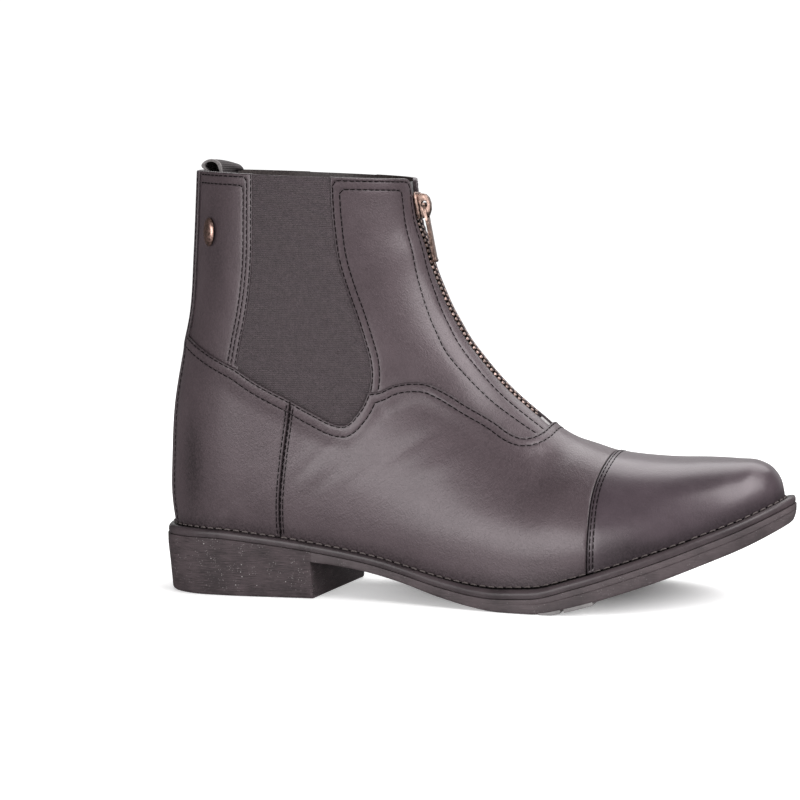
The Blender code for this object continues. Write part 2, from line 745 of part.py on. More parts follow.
def across(name, start, end, inset, low, high, where=parts, count=6):
    """A block across the sole between two shares of its length, from one height to another."""
    points = []
    for x in np.linspace(along(start), along(end), count):
        outer = -edge_width(x, -1, inset)
        inner = edge_width(x, 1, inset)
        points += [(x, outer, low(x)), (x, inner, low(x)), (x, inner, high(x)), (x, outer, high(x))]
    faces = [(0, 1, 2, 3), tuple(4 * (count - 1) + i for i in range(4))]
    for i in range(count - 1):
        faces += [
            (4 * i + j, 4 * i + (j + 1) % 4, 4 * i + 4 + (j + 1) % 4, 4 * i + 4 + j) for j in range(4)
        ]
    return new_mesh(name, points, faces, where)


for number, (start, end) in enumerate(INSERTS):
    where = ("rear", "front")[number]
    share = GAP / SOLE_LENGTH
    pocket = across(
        "pocket_" + where,
        start - share,
        end + share,
        -0.0010,
        lambda x: underside(x) - 0.002,
        lambda x: underside(x) + 0.0010,
        cutters,
    )
    cut(outsole, pocket)
    insert = across(
        "tread_insert_" + where,
        start,
        end,
        INSERT_INSET,
        lambda x: max(float(underside(x)) - INSERT_DROP, 0.0),
        lambda x: underside(x) + 0.0010 - GAP,
    )
    paint(insert, "grey_rubber", (0.42, 0.42, 0.42), 0.0, 0.6)

# Front zip: tape, chain and foot stop
zip_reach = between(0.36, 0.70, 0.32, 1.1)
tape = shell("zip_tape", -LEATHER - GAP, -LEATHER - GAP - TAPE_DEPTH, zip_reach)
cut(tape, zip_band("tape_side", collar_way + 0.0015, foot_way + 0.001, TAPE_WIDTH / 2), "INTERSECT")
chain_end = foot_way - 0.0062
chain = shell("zip_chain", -LEATHER + CHAIN_DEPTH, -LEATHER, zip_reach)
cut(chain, zip_band("chain_side", slider_way - 0.004, chain_end, CHAIN_WIDTH / 2), "INTERSECT")
stop = shell("zip_stop", -LEATHER + CHAIN_DEPTH, -LEATHER, zip_reach)
cut(stop, zip_band("stop_side", chain_end + GAP, foot_way - 2 * GAP, THROAT / 2 - GAP), "INTERSECT")


def slider_shape(name, line, low, high, where=cutters):
    """A block beside the slider's middle, from points of (out, up)."""
    point, out, up = zip_place(slider_way)
    return prism(name, [point + a * out + b * up for a, b in line], low, high, where)


def rounded(out, up, reach, start=0, stop=180, count=9):
    """Points of an arc of (out, up)."""
    turns = np.radians(np.linspace(start, stop, count))
    return [(out + reach * math.sin(a), up + reach * math.cos(a)) for a in turns]


chain_out = -LEATHER + CHAIN_DEPTH
tall = SLIDER_HEIGHT / 2
plate = ((chain_out + GAP, tall - 0.001), (chain_out + GAP, 0.001 - tall), (0.0004, -tall))
plate += ((0.0012, 0.0006 - tall), (0.0012, tall - 0.0006), (0.0004, tall))
slider = slider_shape("zip_slider", plate, -SLIDER_WIDTH / 2, SLIDER_WIDTH / 2, parts)
edge_in = CHAIN_WIDTH / 2 + GAP
flange = ((-LEATHER + GAP, tall - 0.002), (-LEATHER + GAP, 0.002 - tall), (0.0002, 0.0015 - tall))
flange += ((0.0002, tall - 0.0015),)
for name, low, high in (
    ("flange_outer", -SLIDER_WIDTH / 2 + 0.00005, -edge_in),
    ("flange_inner", edge_in, SLIDER_WIDTH / 2 - 0.00005),
):
    cut(slider, slider_shape(name, flange, low, high), "UNION")
bridge = [(0.0010, 0.0052), (0.0026, 0.0052), (0.0046, 0.0044), (BRIDGE_REACH - 0.0004, 0.0026)]
bridge += [(BRIDGE_REACH, 0.0000), (BRIDGE_REACH - 0.0004, -0.0030), (0.0044, -0.0056)]
bridge += [(0.0022, -0.0060), (0.0010, -0.0058)]
cut(slider, slider_shape("bridge", bridge, -BRIDGE_WIDTH / 2, BRIDGE_WIDTH / 2), "UNION")
hole = rounded(PIVOT_OUT, 0.0, 2 * PIN, 0, 337.5, 16)
cut(slider, slider_shape("bridge_hole", hole, -BRIDGE_WIDTH, BRIDGE_WIDTH))

# Pull tab, hung on a round pin through the slider's bridge
point, out, up = zip_place(slider_way)
pivot = point + PIVOT_OUT * out
lean = math.radians(PULL_LEAN)
down = np.array([math.sin(lean), -math.cos(lean)])
fore = np.array([math.cos(lean), math.sin(lean)])


def pull_shape(name, line, low, high, where=cutters):
    """A block of the pull, from points of (down, fore) beside its pin."""
    return prism(name, [pivot + a * down + b * fore for a, b in line], low, high, where)


arm_out = PULL_WIDTH / 2 + 0.0006
bar = ((0.0068, -0.0007), (PULL_LENGTH - 0.0022, -0.0007), (PULL_LENGTH - 0.0008, -0.0010))
bar += ((PULL_LENGTH, -0.0006), (PULL_LENGTH, 0.0006), (PULL_LENGTH - 0.0008, 0.0010))
bar += ((PULL_LENGTH - 0.0022, 0.0007), (0.0068, 0.0007))
pull = pull_shape("zip_pull", bar, -PULL_WIDTH / 2, PULL_WIDTH / 2, parts)
yoke = ((0.0064, -0.0006), (0.0082, -0.0006), (0.0082, 0.0006), (0.0064, 0.0006))
cut(pull, pull_shape("yoke", yoke, -arm_out, arm_out), "UNION")
arm = [(0.0072, 0.00055), (0.0072, -0.00055)]
arm += [(0.0007 * math.sin(a), -0.0007 * math.cos(a)) for a in np.radians(np.linspace(20, -200, 9))]
arm_in = BRIDGE_WIDTH / 2 + GAP
for name, low, high in (("arm_outer", -arm_out, -arm_in), ("arm_inner", arm_in, arm_out)):
    cut(pull, pull_shape(name, arm, low, high), "UNION")
pin = [(PIN * math.sin(a), PIN * math.cos(a)) for a in np.radians(np.linspace(0, 337.5, 16))]
cut(pull, pull_shape("pin", pin, -arm_out - 0.0003, arm_out + 0.0003), "UNION")

# Pull loop inside the collar at the back: a strap folded over
thick = 0.0012
back = float(LAST[-1, 0, 0]) + LEATHER + GAP + (LOOP_WIDTH / 2) ** 2 / (0.6 * BALL_WIDTH)
top = float(LAST[-1, 0, 2]) + LOOP_RISE
bend = LOOP_DEPTH / 2
outside = [(bend * math.cos(a), bend * math.sin(a)) for a in np.radians(np.linspace(180, 0, 11))]
within = [(x * (1 - thick / bend), z * (1 - thick / bend)) for x, z in outside[::-1]]
loop_line = [(back + bend + x, top - bend + z) for x, z in outside]
loop_line += [(back + 2 * bend, top - 0.022), (back + 2 * bend - thick, top - 0.022)]
loop_line += [(back + bend + x, top - bend + z) for x, z in within]
loop_line += [(back + thick, top - 0.030), (back, top - 0.030)]
loop = prism("pull_loop", loop_line, -LOOP_WIDTH / 2, LOOP_WIDTH / 2, parts)

# A plain oval stud on the outer side
flat = abs(SKIN[:, :, 0] - along(STUD_ALONG)) + abs(SKIN[:, :, 2] - STUD_HEIGHT * BOOT_HEIGHT)
flat[SKIN[:, :, 1] > 0] = 9
where = np.unravel_index(np.argmin(flat), flat.shape)
stud_out = NORMALS[where]
skin = SKIN[where]
x = float(along(STUD_ALONG))
z = STUD_HEIGHT * BOOT_HEIGHT
y = skin[1] - (stud_out[0] * (x - skin[0]) + stud_out[2] * (z - skin[2])) / stud_out[1]
bpy.ops.mesh.primitive_uv_sphere_add(segments=20, ring_count=8, radius=1)
stud = bpy.context.object
stud.name = "side_stud"
for held in list(stud.users_collection):
    held.objects.unlink(stud)
parts.objects.link(stud)
across_it = np.cross([0, 0, 1], stud_out)
across_it /= np.linalg.norm(across_it)
along_it = np.cross(stud_out, across_it)
for vertex in stud.data.vertices:
    a, b, c = vertex.co
    c = max(c, 0)
    place = np.array([x, y, z]) + stud_out * (0.0007 + 0.0016 * c)
    vertex.co = place + across_it * a * 0.32 * STUD_SIZE + along_it * b * 0.5 * STUD_SIZE
bpy.context.view_layer.objects.active = stud
stud.select_set(True)
bpy.ops.object.mode_set(mode="EDIT")
bpy.ops.mesh.select_all(action="SELECT")
bpy.ops.mesh.normals_make_consistent(inside=False)
bpy.ops.object.mode_set(mode="OBJECT")

for piece in (upper, quarter_outer, quarter_inner, vamp, toe_cap, backstay, loop):
    paint(piece, "leather", (0.05, 0.042, 0.044), 0.0, 0.45)
for piece in (outsole, heel_block):
    paint(piece, "sole_rubber", (0.04, 0.036, 0.037), 0.0, 0.6)
paint(welt, "welt_rubber", (0.045, 0.04, 0.041), 0.0, 0.55)
paint(tape, "zip_cloth", (0.08, 0.075, 0.075), 0.0, 0.9)
for piece in (chain, slider, pull, stud):
    paint(piece, "bronze", (0.45, 0.33, 0.28), 1.0, 0.35)
paint(stop, "grey_tape", (0.4, 0.38, 0.38), 0.0, 0.7)

for piece in parts.objects:
    smooth_shade(piece)
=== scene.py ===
"""Looks of the paddock boot: leather panels, elastic sides, front zip, welt, sole and heel.

Metres. X runs from the heel to the toe, Y to the inner side of the foot, Z up.
"""

import math

import bmesh
import bpy
import numpy as np
from mathutils import Matrix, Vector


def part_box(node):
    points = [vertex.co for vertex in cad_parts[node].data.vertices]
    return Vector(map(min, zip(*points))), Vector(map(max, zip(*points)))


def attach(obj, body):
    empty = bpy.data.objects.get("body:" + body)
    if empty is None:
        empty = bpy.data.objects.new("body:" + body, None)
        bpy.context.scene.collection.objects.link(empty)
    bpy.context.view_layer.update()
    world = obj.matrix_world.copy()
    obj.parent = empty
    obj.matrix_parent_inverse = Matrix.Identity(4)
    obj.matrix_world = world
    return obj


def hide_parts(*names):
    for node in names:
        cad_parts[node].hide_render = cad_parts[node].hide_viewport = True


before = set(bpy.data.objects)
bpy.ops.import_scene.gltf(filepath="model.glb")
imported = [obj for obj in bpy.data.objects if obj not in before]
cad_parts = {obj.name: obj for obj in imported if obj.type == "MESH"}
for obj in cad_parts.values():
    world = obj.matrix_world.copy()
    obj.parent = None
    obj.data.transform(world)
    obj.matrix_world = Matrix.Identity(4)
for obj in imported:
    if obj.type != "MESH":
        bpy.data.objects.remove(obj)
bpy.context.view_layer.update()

bpy.ops.object.select_all(action="DESELECT")

# Sizes of the boot
SOLE_LENGTH = 0.300
BALL_WIDTH = 0.103
BOOT_HEIGHT = 0.1975
HEEL_HEIGHT = 0.0225
TOE_SPRING = 0.0366
SOLE_DEPTH = 0.0086
WELT_DEPTH = 0.0045
LEATHER = 0.0020
INSOLE = 0.0025
HEEL_CENTRE = 0.14 * SOLE_LENGTH
GAP = 0.0003
MM = 0.001

# How far the upper's foot and the welt's inside lie in from the sole's edge, and the way over which the
# leather sinks from a panel's edge
FEATHER_INSET = 0.0045
WELT_INSIDE = 0.0120
EASE = 0.0120

# How far the panels stand over the leather under them, and the slit beside a seam
PANEL_TOP = 0.0010 + GAP
CAP_TOP = PANEL_TOP + 0.0003
TIGHT = 0.00004
SLIT = 0.15 * MM

# Ways that stand for far from an edge, and for a part of the boot without that edge or row. A point is on
# a line when it is nearer to it than the last of the three
AWAY = 0.02
ELSEWHERE = 0.05
ON_LINE = 3e-5

# How finely the leather and the sole are cut
RINGS = 190
HALF_RING = 80
STATIONS = 150

# The sole's edge: share of its length, then half widths as shares of the ball's width
OUTLINE = (
    # along, outer, inner
    (0.000, 0.000, 0.000), (0.001, 0.043, 0.043), (0.004, 0.087, 0.087), (0.020, 0.194, 0.194),
    (0.060, 0.277, 0.277), (0.120, 0.311, 0.309), (0.200, 0.318, 0.313), (0.280, 0.320, 0.305),
    (0.380, 0.335, 0.285), (0.500, 0.413, 0.335), (0.600, 0.485, 0.425), (0.660, 0.505, 0.468),
    (0.720, 0.500, 0.485), (0.800, 0.451, 0.455), (0.870, 0.374, 0.385), (0.930, 0.272, 0.288),
    (0.970, 0.170, 0.184), (0.990, 0.092, 0.100), (0.9967, 0.054, 0.059), (0.9993, 0.026, 0.028),
    (1.000, 0.000, 0.000),
)

# The sole from the side
SOLE_SIDE = (
    # along, underside by the heel's height, by the toe spring, depth
    (0.00, 0.99, 0.000, 0.580), (0.10, 1.00, 0.000, 0.560), (0.20, 0.90, 0.000, 0.535),
    (0.28, 0.77, 0.000, 0.510), (0.36, 0.61, 0.000, 0.455), (0.42, 0.43, 0.000, 0.455),
    (0.48, 0.21, 0.000, 0.520), (0.54, 0.05, 0.000, 0.605), (0.58, 0.00, 0.000, 0.675),
    (0.63, 0.00, 0.000, 0.780), (0.70, 0.00, 0.105, 0.950), (0.76, 0.00, 0.250, 0.980),
    (0.82, 0.00, 0.408, 1.000), (0.88, 0.00, 0.586, 1.000), (0.94, 0.00, 0.770, 1.000),
    (1.00, 0.00, 1.000, 0.930),
)

# Sections of the last, from the toe to the collar
SECTIONS = (
    # bottom along, bottom rise, top along, top rise, outer, inner, widest, floor, low power, top power
    (0.9810, -0.050, 0.9815, 0.014, 0.022, 0.022, 0.40, 1.0, 2.4, 2.4),
    (0.9755, -0.050, 0.9765, 0.044, 0.080, 0.082, 0.38, 1.0, 2.4, 2.3),
    (0.9640, -0.050, 0.9650, 0.077, 0.132, 0.138, 0.36, 1.0, 2.4, 2.2),
    (0.9440, -0.050, 0.9450, 0.106, 0.195, 0.204, 0.34, 1.0, 2.4, 2.2),
    (0.9130, -0.050, 0.9133, 0.129, 0.262, 0.274, 0.32, 1.0, 2.4, 2.2),
    (0.8700, -0.050, 0.8700, 0.155, 0.328, 0.336, 0.31, 1.0, 2.4, 2.2),
    (0.8200, -0.050, 0.8200, 0.182, 0.385, 0.384, 0.30, 1.0, 2.4, 2.2),
    (0.7600, -0.050, 0.7640, 0.216, 0.430, 0.418, 0.29, 1.0, 2.4, 2.1),
    (0.7000, -0.050, 0.7280, 0.242, 0.452, 0.426, 0.29, 1.0, 2.4, 2.1),
    (0.6300, -0.050, 0.6900, 0.279, 0.452, 0.408, 0.30, 1.0, 2.4, 2.1),
    (0.5550, -0.050, 0.6620, 0.309, 0.430, 0.368, 0.32, 1.0, 2.4, 2.0),
    (0.4650, -0.050, 0.6280, 0.349, 0.396, 0.330, 0.34, 1.0, 2.4, 2.0),
    (0.3700, -0.050, 0.5970, 0.389, 0.368, 0.318, 0.36, 1.0, 2.4, 2.0),
    (0.2700, -0.050, 0.5680, 0.430, 0.354, 0.326, 0.37, 1.0, 2.4, 2.0),
    (0.1650, -0.050, 0.5415, 0.471, 0.350, 0.336, 0.38, 1.0, 2.3, 2.0),
    (0.0750, -0.050, 0.5180, 0.511, 0.349, 0.343, 0.38, 1.0, 2.2, 2.0),
    (0.0330, -0.050, 0.5070, 0.530, 0.349, 0.346, 0.39, 1.0, 2.2, 2.0),
    (0.0180, -0.045, 0.4990, 0.546, 0.350, 0.348, 0.39, 0.0, 2.2, 2.0),
    (0.0120, 0.000, 0.4930, 0.561, 0.351, 0.350, 0.39, 0.0, 2.2, 2.0),
    (0.0080, 0.055, 0.4785, 0.596, 0.353, 0.352, 0.40, 0.0, 2.2, 2.0),
    (0.0105, 0.155, 0.4615, 0.648, 0.358, 0.357, 0.42, 0.0, 2.2, 2.0),
    (0.0180, 0.275, 0.4500, 0.690, 0.364, 0.363, 0.44, 0.0, 2.2, 2.0),
    (0.0330, 0.385, 0.4410, 0.735, 0.371, 0.370, 0.46, 0.0, 2.2, 2.0),
    (0.0530, 0.500, 0.4295, 0.782, 0.379, 0.378, 0.47, 0.0, 2.2, 2.0),
    (0.0635, 0.650, 0.4235, 0.830, 0.387, 0.386, 0.48, 0.0, 2.2, 2.0),
    (0.0738, 0.845, 0.4200, 0.882, 0.392, 0.391, 0.49, 0.0, 2.2, 2.0),
)

# Lines seen from the side, as shares of the sole's length and of the boot's height
GORE_REAR = (
    (0.206, 1.080), (0.202, 0.900), (0.198, 0.789), (0.185, 0.671), (0.173, 0.602), (0.164, 0.545),
)
GORE_BASE = (
    (0.164, 0.545), (0.196, 0.513), (0.248, 0.471), (0.284, 0.440), (0.3237, 0.4122), (0.3332, 0.4106),
)
GORE_FRONT = (
    (0.3332, 0.4106), (0.3413, 0.4182), (0.345, 0.424), (0.360, 0.454), (0.369, 0.487), (0.372, 0.520),
    (0.370, 0.560), (0.363, 0.602), (0.352, 0.663), (0.340, 0.725), (0.330, 0.790), (0.325, 0.880),
    (0.326, 1.080),
)
QUARTER_TOP = (
    (-0.080, 0.730), (0.065, 0.619), (0.146, 0.557), (0.164, 0.545),
)
QUARTER_SEAM = (
    (0.251, 0.471), (0.234, 0.327), (0.226, 0.231), (0.223, 0.162), (0.222, 0.000),
)
VAMP_TOP = (
    (0.369, 0.487), (0.384, 0.487), (0.402, 0.500), (0.432, 0.507), (0.456, 0.503), (0.476, 0.489),
    (0.519, 0.449), (0.561, 0.411), (0.583, 0.388), (0.603, 0.377), (0.616, 0.380), (0.626, 0.390),
    (0.634, 0.420), (0.650, 0.520),
)
TOE_SEAM = (
    (0.740, 0.450), (0.728, 0.335), (0.721, 0.290), (0.717, 0.170), (0.714, 0.000),
)
# Height, then half width of the backstay as a share of the ball's width
BACKSTAY = (
    (0.000, 0.170), (0.360, 0.198), (0.620, 0.215), (0.800, 0.228), (1.080, 0.235),
)

# Front zip
THROAT = 0.0088
TAPE_WIDTH = 0.0220
ZIP_FOOT = 0.630
VAMP_START = 0.612
VAMP_END = 0.650
SLIDER_AT = 0.910
TOOTH_PITCH = 0.0026

# A tooth: half its size across, up and out, its middle beside the zip's, and its rise over the tape. Then
# the way from the slider's middle to the first tooth, and the ways without teeth at both ends together
TOOTH_SIZE = (0.0022, 0.0015, 0.0017)
TOOTH_SIDE = 0.0010
TOOTH_RISE = 0.0007
FIRST_TOOTH = 0.0060
TOOTHLESS = 0.0120

# Sewing: pitch, length and thickness of a stitch, and how far it lies over the leather. Then the same for
# the welt's row, and how far that row lies from the upper
PITCH = 0.00295
STITCH = 0.0024
THREAD = 0.00048
THREAD_LIFT = 0.00010
WELT_PITCH = 0.0043
WELT_STITCH = 0.0030
WELT_THREAD = 0.00078
WELT_LIFT = 0.0002
BESIDE_UPPER = 0.0006

# Heel and loop: where the breast is, its turn in degrees, and the strap's sizes
BREAST = 0.280
BREAST_TURN = 4.9
LOOP_WIDTH = 0.0220
LOOP_RISE = 0.0048
LOOP_DEPTH = 0.0075
LOOP_THICK = 0.0012

# Insole: points across, the play beside it, and how far its edge is rounded and its middle dished
ACROSS = 17
INSOLE_PLAY = 0.0008
INSOLE_ROUND = 0.0006
INSOLE_DISH = 0.0004

# Soft troughs and ridges of the leather. Side is -1 outer, 1 inner, 0 both; the turn is
# in degrees from level, reach and breadth are half lengths in mm along and across, and rise is in mm
FOLDS = (
    # along, height, side, turn, reach, breadth, rise
    (0.055, 0.310, -1, 85, 22, 8.0, -0.70),
    (0.120, 0.330, -1, 70, 22, 12.0, 0.45),
    (0.055, 0.310, 1, 85, 20, 9.0, -0.45),
    (0.385, 0.560, -1, 60, 20, 12.0, 0.80),
    (0.385, 0.590, 1, 62, 18, 11.0, 0.60),
    (0.365, 0.930, -1, 80, 10, 6.0, -0.45),
    (0.395, 0.740, -1, 75, 20, 7.0, -0.30),
    (0.540, 0.180, -1, 8, 40, 13.0, 0.50),
    (0.655, 0.315, -1, 62, 17, 7.0, -0.55),
    (0.655, 0.315, 1, 60, 15, 7.0, -0.45),
    (0.285, 0.330, -1, 42, 17, 2.6, -0.20),
    (0.325, 0.310, -1, 38, 20, 2.8, -0.22),
    (0.355, 0.345, -1, 40, 17, 2.6, 0.15),
    (0.395, 0.330, -1, 35, 20, 3.0, -0.22),
    (0.440, 0.365, -1, 30, 17, 3.0, -0.22),
    (0.480, 0.320, -1, 25, 20, 4.0, 0.20),
    (0.310, 0.320, 1, 42, 20, 3.0, -0.34),
    (0.370, 0.340, 1, 38, 18, 2.8, -0.30),
    (0.430, 0.330, 1, 30, 18, 3.4, 0.24),
    (0.850, 0.170, -1, -20, 20, 8.0, 0.20),
    (0.130, 0.760, -1, 88, 22, 6.0, -0.25),
)

# Painted shade where the leather's colour is darkened, and painted highlights where it is lightened, the
# amount below 0
PAINTED_LIGHT = (
    # along, height, side, turn, reach, breadth, amount
    (0.078, 0.310, -1, 88, 26, 7.0, 0.80),
    (0.078, 0.310, 1, 88, 26, 7.0, 0.65),
    (0.150, 0.290, -1, 80, 24, 9.0, -0.30),
    (0.150, 0.290, 1, 80, 22, 9.0, -0.20),
    (0.400, 0.700, -1, 70, 30, 9.0, -0.22),
    (0.400, 0.700, 1, 70, 30, 9.0, -0.22),
    (0.330, 0.250, -1, 25, 34, 14.0, -0.22),
    (0.330, 0.250, 1, 25, 34, 14.0, -0.18),
    (0.545, 0.170, -1, -5, 26, 10.0, -0.15),
    (0.395, 0.920, -1, 30, 8, 5.0, 0.25),
    (0.130, 0.800, -1, 88, 26, 7.0, 0.45),
    (0.775, 0.140, -1, -14, 22, 9.0, 0.70),
    (0.905, 0.138, -1, -20, 18, 8.0, -0.42),
    (0.400, 0.580, -1, 60, 14, 8.0, -0.18),
)


def cubic(knots, values, at, level=False):
    """A smooth curve through the rows. With level set, it never passes beyond a row's value."""
    knots = np.asarray(knots, float)
    values = np.asarray(values, float)
    at = np.clip(np.asarray(at, float), knots[0], knots[-1])
    span = np.diff(knots)
    rate = np.diff(values) / span
    slope = np.empty_like(values)
    slope[1:-1] = (span[1:] * rate[:-1] + span[:-1] * rate[1:]) / (span[1:] + span[:-1])
    slope[0] = rate[0]
    slope[-1] = rate[-1]
    if level:
        most = 3 * np.minimum(abs(rate[:-1]), abs(rate[1:]))
        slope[1:-1] = np.clip(slope[1:-1], -most, most)
        slope[1:-1][rate[:-1] * rate[1:] <= 0] = 0
    i = np.clip(np.searchsorted(knots, at, side="right") - 1, 0, len(span) - 1)
    t = (at - knots[i]) / span[i]
    start = values[i] * (1 + 2 * t) * (1 - t) ** 2 + slope[i] * span[i] * t * (1 - t) ** 2
    end = values[i + 1] * t * t * (3 - 2 * t) + slope[i + 1] * span[i] * t * t * (t - 1)
    return start + end


def run_up(steps):
    """Sums of the steps so far, from 0."""
    return np.concatenate([[0], np.cumsum(steps)])


def unit(vectors):
    """Vectors brought to a length of 1."""
    return vectors / np.linalg.norm(vectors, axis=-1, keepdims=True)


def value_at(way, ways, rows):
    """The rows' values at a way along them."""
    return np.array([np.interp(way, ways, column) for column in rows.T])


def loop_faces(count, size, ring=False):
    """Faces between loops of points, and from the last loop back to the first in a ring."""
    faces = []
    for i in range(count if ring else count - 1):
        low = i * size
        high = (i + 1) % count * size
        faces += [(low + j, low + (j + 1) % size, high + (j + 1) % size, high + j) for j in range(size)]
    return faces


def along(share):
    """X of a place given as a share of the sole's length from its rear end."""
    return np.asarray(share) * SOLE_LENGTH - HEEL_CENTRE


def sole_side(column, x):
    """A column of the table of the sole's side at x."""
    rows = np.array(SOLE_SIDE)
    return cubic(along(rows[:, 0]), rows[:, column], x, level=True)


def underside(x):
    """Height of the outsole's underside."""
    return sole_side(1, x) * HEEL_HEIGHT + sole_side(2, x) * TOE_SPRING


def sole_top(x):
    """Height of the outsole's edge, where the welt sits."""
    return underside(x) + sole_side(3, x) * SOLE_DEPTH


def seat(x):
    """Height of the line where the upper meets the welt."""
    return sole_top(x) + WELT_DEPTH


def outline(inset=0.0, count=STATIONS):
    """Points of the sole's edge drawn in by inset, from the heel along the outer side and back."""
    rows = np.array(OUTLINE)
    x = along(rows[:, 0])
    wide = rows[:, 1:].mean(axis=1) * BALL_WIDTH
    knots = run_up(np.hypot(np.diff(x), np.diff(wide)))
    at = np.linspace(0, knots[-1], count + 1)
    middle = cubic(knots, x, at)
    outer = np.column_stack([middle, -cubic(knots, rows[:, 1] * BALL_WIDTH, at)])
    inner = np.column_stack([middle, cubic(knots, rows[:, 2] * BALL_WIDTH, at)])
    loop = np.vstack([outer, inner[-2:0:-1]])
    run = unit(np.roll(loop, -1, axis=0) - np.roll(loop, 1, axis=0))
    return loop + inset * np.column_stack([-run[:, 1], run[:, 0]])


def edge_width(x, side, inset):
    """Half width of the sole's edge at x on one side, -1 for the outer and 1 for the inner."""
    loop = outline(inset, 160)
    line = loop[:161] if side < 0 else np.vstack([loop[:1], loop[:159:-1]])
    return float(np.interp(x, line[:, 0], abs(line[:, 1]), left=0, right=0))


def half_section(width, floor, widest, low, top, height):
    """(height, half width) at even steps up one side of a section."""
    keep = (1 - min(floor / width, 0.97) ** low) ** (1 / low)
    turn = np.linspace(0, math.pi / 2, 120)
    rise = 1 - np.cos(turn)
    lower = np.column_stack([widest * rise, width * (1 - (keep * (1 - rise)) ** low) ** (1 / low)])
    reach = np.sin(turn[1:])
    upper = np.column_stack(
        [widest + (1 - widest) * reach, width * np.clip(1 - reach**top, 0, 1) ** (1 / top)]
    )
    line = np.vstack([[0, 0], lower, upper]) * [height, 1]
    weight = np.hypot(*np.diff(line, axis=0).T)
    # The flat bottom takes fewer of the points than its length would give it
    weight[0] *= 0.3
    length = run_up(weight)
    at = np.linspace(0, length[-1], HALF_RING + 1)
    return np.column_stack([np.interp(at, length, line[:, 0]), np.interp(at, length, line[:, 1])])


def last_grid():
    """Points on the outside of the leather, ring by ring from the toe to the collar."""
    rows = np.array(SECTIONS)
    low, high = (
        np.column_stack([along(share), seat(along(share)) + rise * BOOT_HEIGHT])
        for share, rise in (rows[:, :2].T, rows[:, 2:4].T)
    )
    knots = run_up(np.hypot(*np.diff(low, axis=0).T) + np.hypot(*np.diff(high, axis=0).T))
    by_row = np.interp(np.linspace(0, len(rows) - 1, RINGS), np.arange(len(rows)), knots)
    at = 0.4 * by_row + 0.6 * np.linspace(0, knots[-1], RINGS)
    columns = np.column_stack([low, high, rows[:, 4:]])
    grid = []
    for row in np.column_stack([cubic(knots, column, at) for column in columns.T]):
        bottom = row[:2]
        top = row[2:4]
        sides = []
        for side, width in ((-1, row[4]), (1, row[5])):
            floor = max(row[7], 0) * edge_width(bottom[0], side, FEATHER_INSET + 0.0015)
            height = np.linalg.norm(top - bottom)
            line = half_section(width * BALL_WIDTH, floor, row[6], row[8], row[9], height)
            place = bottom + np.outer(line[:, 0] / height, top - bottom)
            sides.append(np.column_stack([place[:, 0], side * line[:, 1], place[:, 1]]))
        grid.append(np.vstack([sides[0], sides[1][-2:0:-1]]))
    return np.array(grid)


def grid_normals(grid):
    """Directions that point out of the boot at each point of the grid."""
    round_it = np.roll(grid, -1, axis=1) - np.roll(grid, 1, axis=1)
    up_it = np.gradient(grid, axis=0)
    normal = unit(np.cross(round_it, up_it))
    out = grid - grid.mean(axis=1)[:, None, :]
    return normal * np.sign((normal * out).sum(axis=2).sum())


def ease(share):
    """From 0 to 1 with level ends."""
    share = np.clip(share, 0, 1)
    return share * share * (3 - 2 * share)


def rounded(one, other, radius):
    """The lesser of two ways in from an edge, with a rounded corner where they meet."""
    corner = np.hypot(np.maximum(radius - one, 0), np.maximum(radius - other, 0))
    return np.maximum(radius, np.minimum(one, other)) - corner


def side_line(table, count=60):
    """A smooth line in metres through rows of (along, height)."""
    rows = np.array(table)
    points = np.column_stack([along(rows[:, 0]), rows[:, 1] * BOOT_HEIGHT])
    knots = run_up(np.hypot(*np.diff(points, axis=0).T))
    at = np.linspace(0, knots[-1], count)
    return np.column_stack([cubic(knots, column, at) for column in points.T])


def way_to(line):
    """Distance over the skin to a line seen from the side, and the side of the line that a place is on, 1
    where it is to the left of the line's run."""
    best = np.full(len(SKIN), 9.0)
    out = np.zeros((len(SKIN), 2))
    left = np.zeros(len(SKIN))
    for start, end in zip(line[:-1], line[1:]):
        run = end - start
        x = skin_x - start[0]
        z = skin_z - start[1]
        share = np.clip((x * run[0] + z * run[1]) / (run @ run), 0, 1)
        off = np.column_stack([x - share * run[0], z - share * run[1]])
        far = np.hypot(*off.T)
        closer = far < best
        best[closer] = far[closer]
        out[closer] = off[closer]
        left[closer] = np.sign(run[0] * z - run[1] * x)[closer]
    out /= np.maximum(best, 1e-9)[:, None]
    lean = skin_out[:, 0] * out[:, 0] + skin_out[:, 2] * out[:, 1]
    return best / np.sqrt(np.clip(1 - lean**2, 0.2, 1)), left


def within(loop):
    """1 for places on the skin inside a closed line seen from the side, -1 for others."""
    inside = np.zeros(len(SKIN), bool)
    for start, end in zip(loop, np.roll(loop, -1, axis=0)):
        crosses = (start[1] > skin_z) != (end[1] > skin_z)
        if crosses.any():
            share = (skin_z - start[1]) / (end[1] - start[1])
            inside ^= crosses & (skin_x < start[0] + (end[0] - start[0]) * share)
    return np.where(inside, 1.0, -1.0)


# The boot's skin: points and the values that the panels and seams are cut by
grid = last_grid()

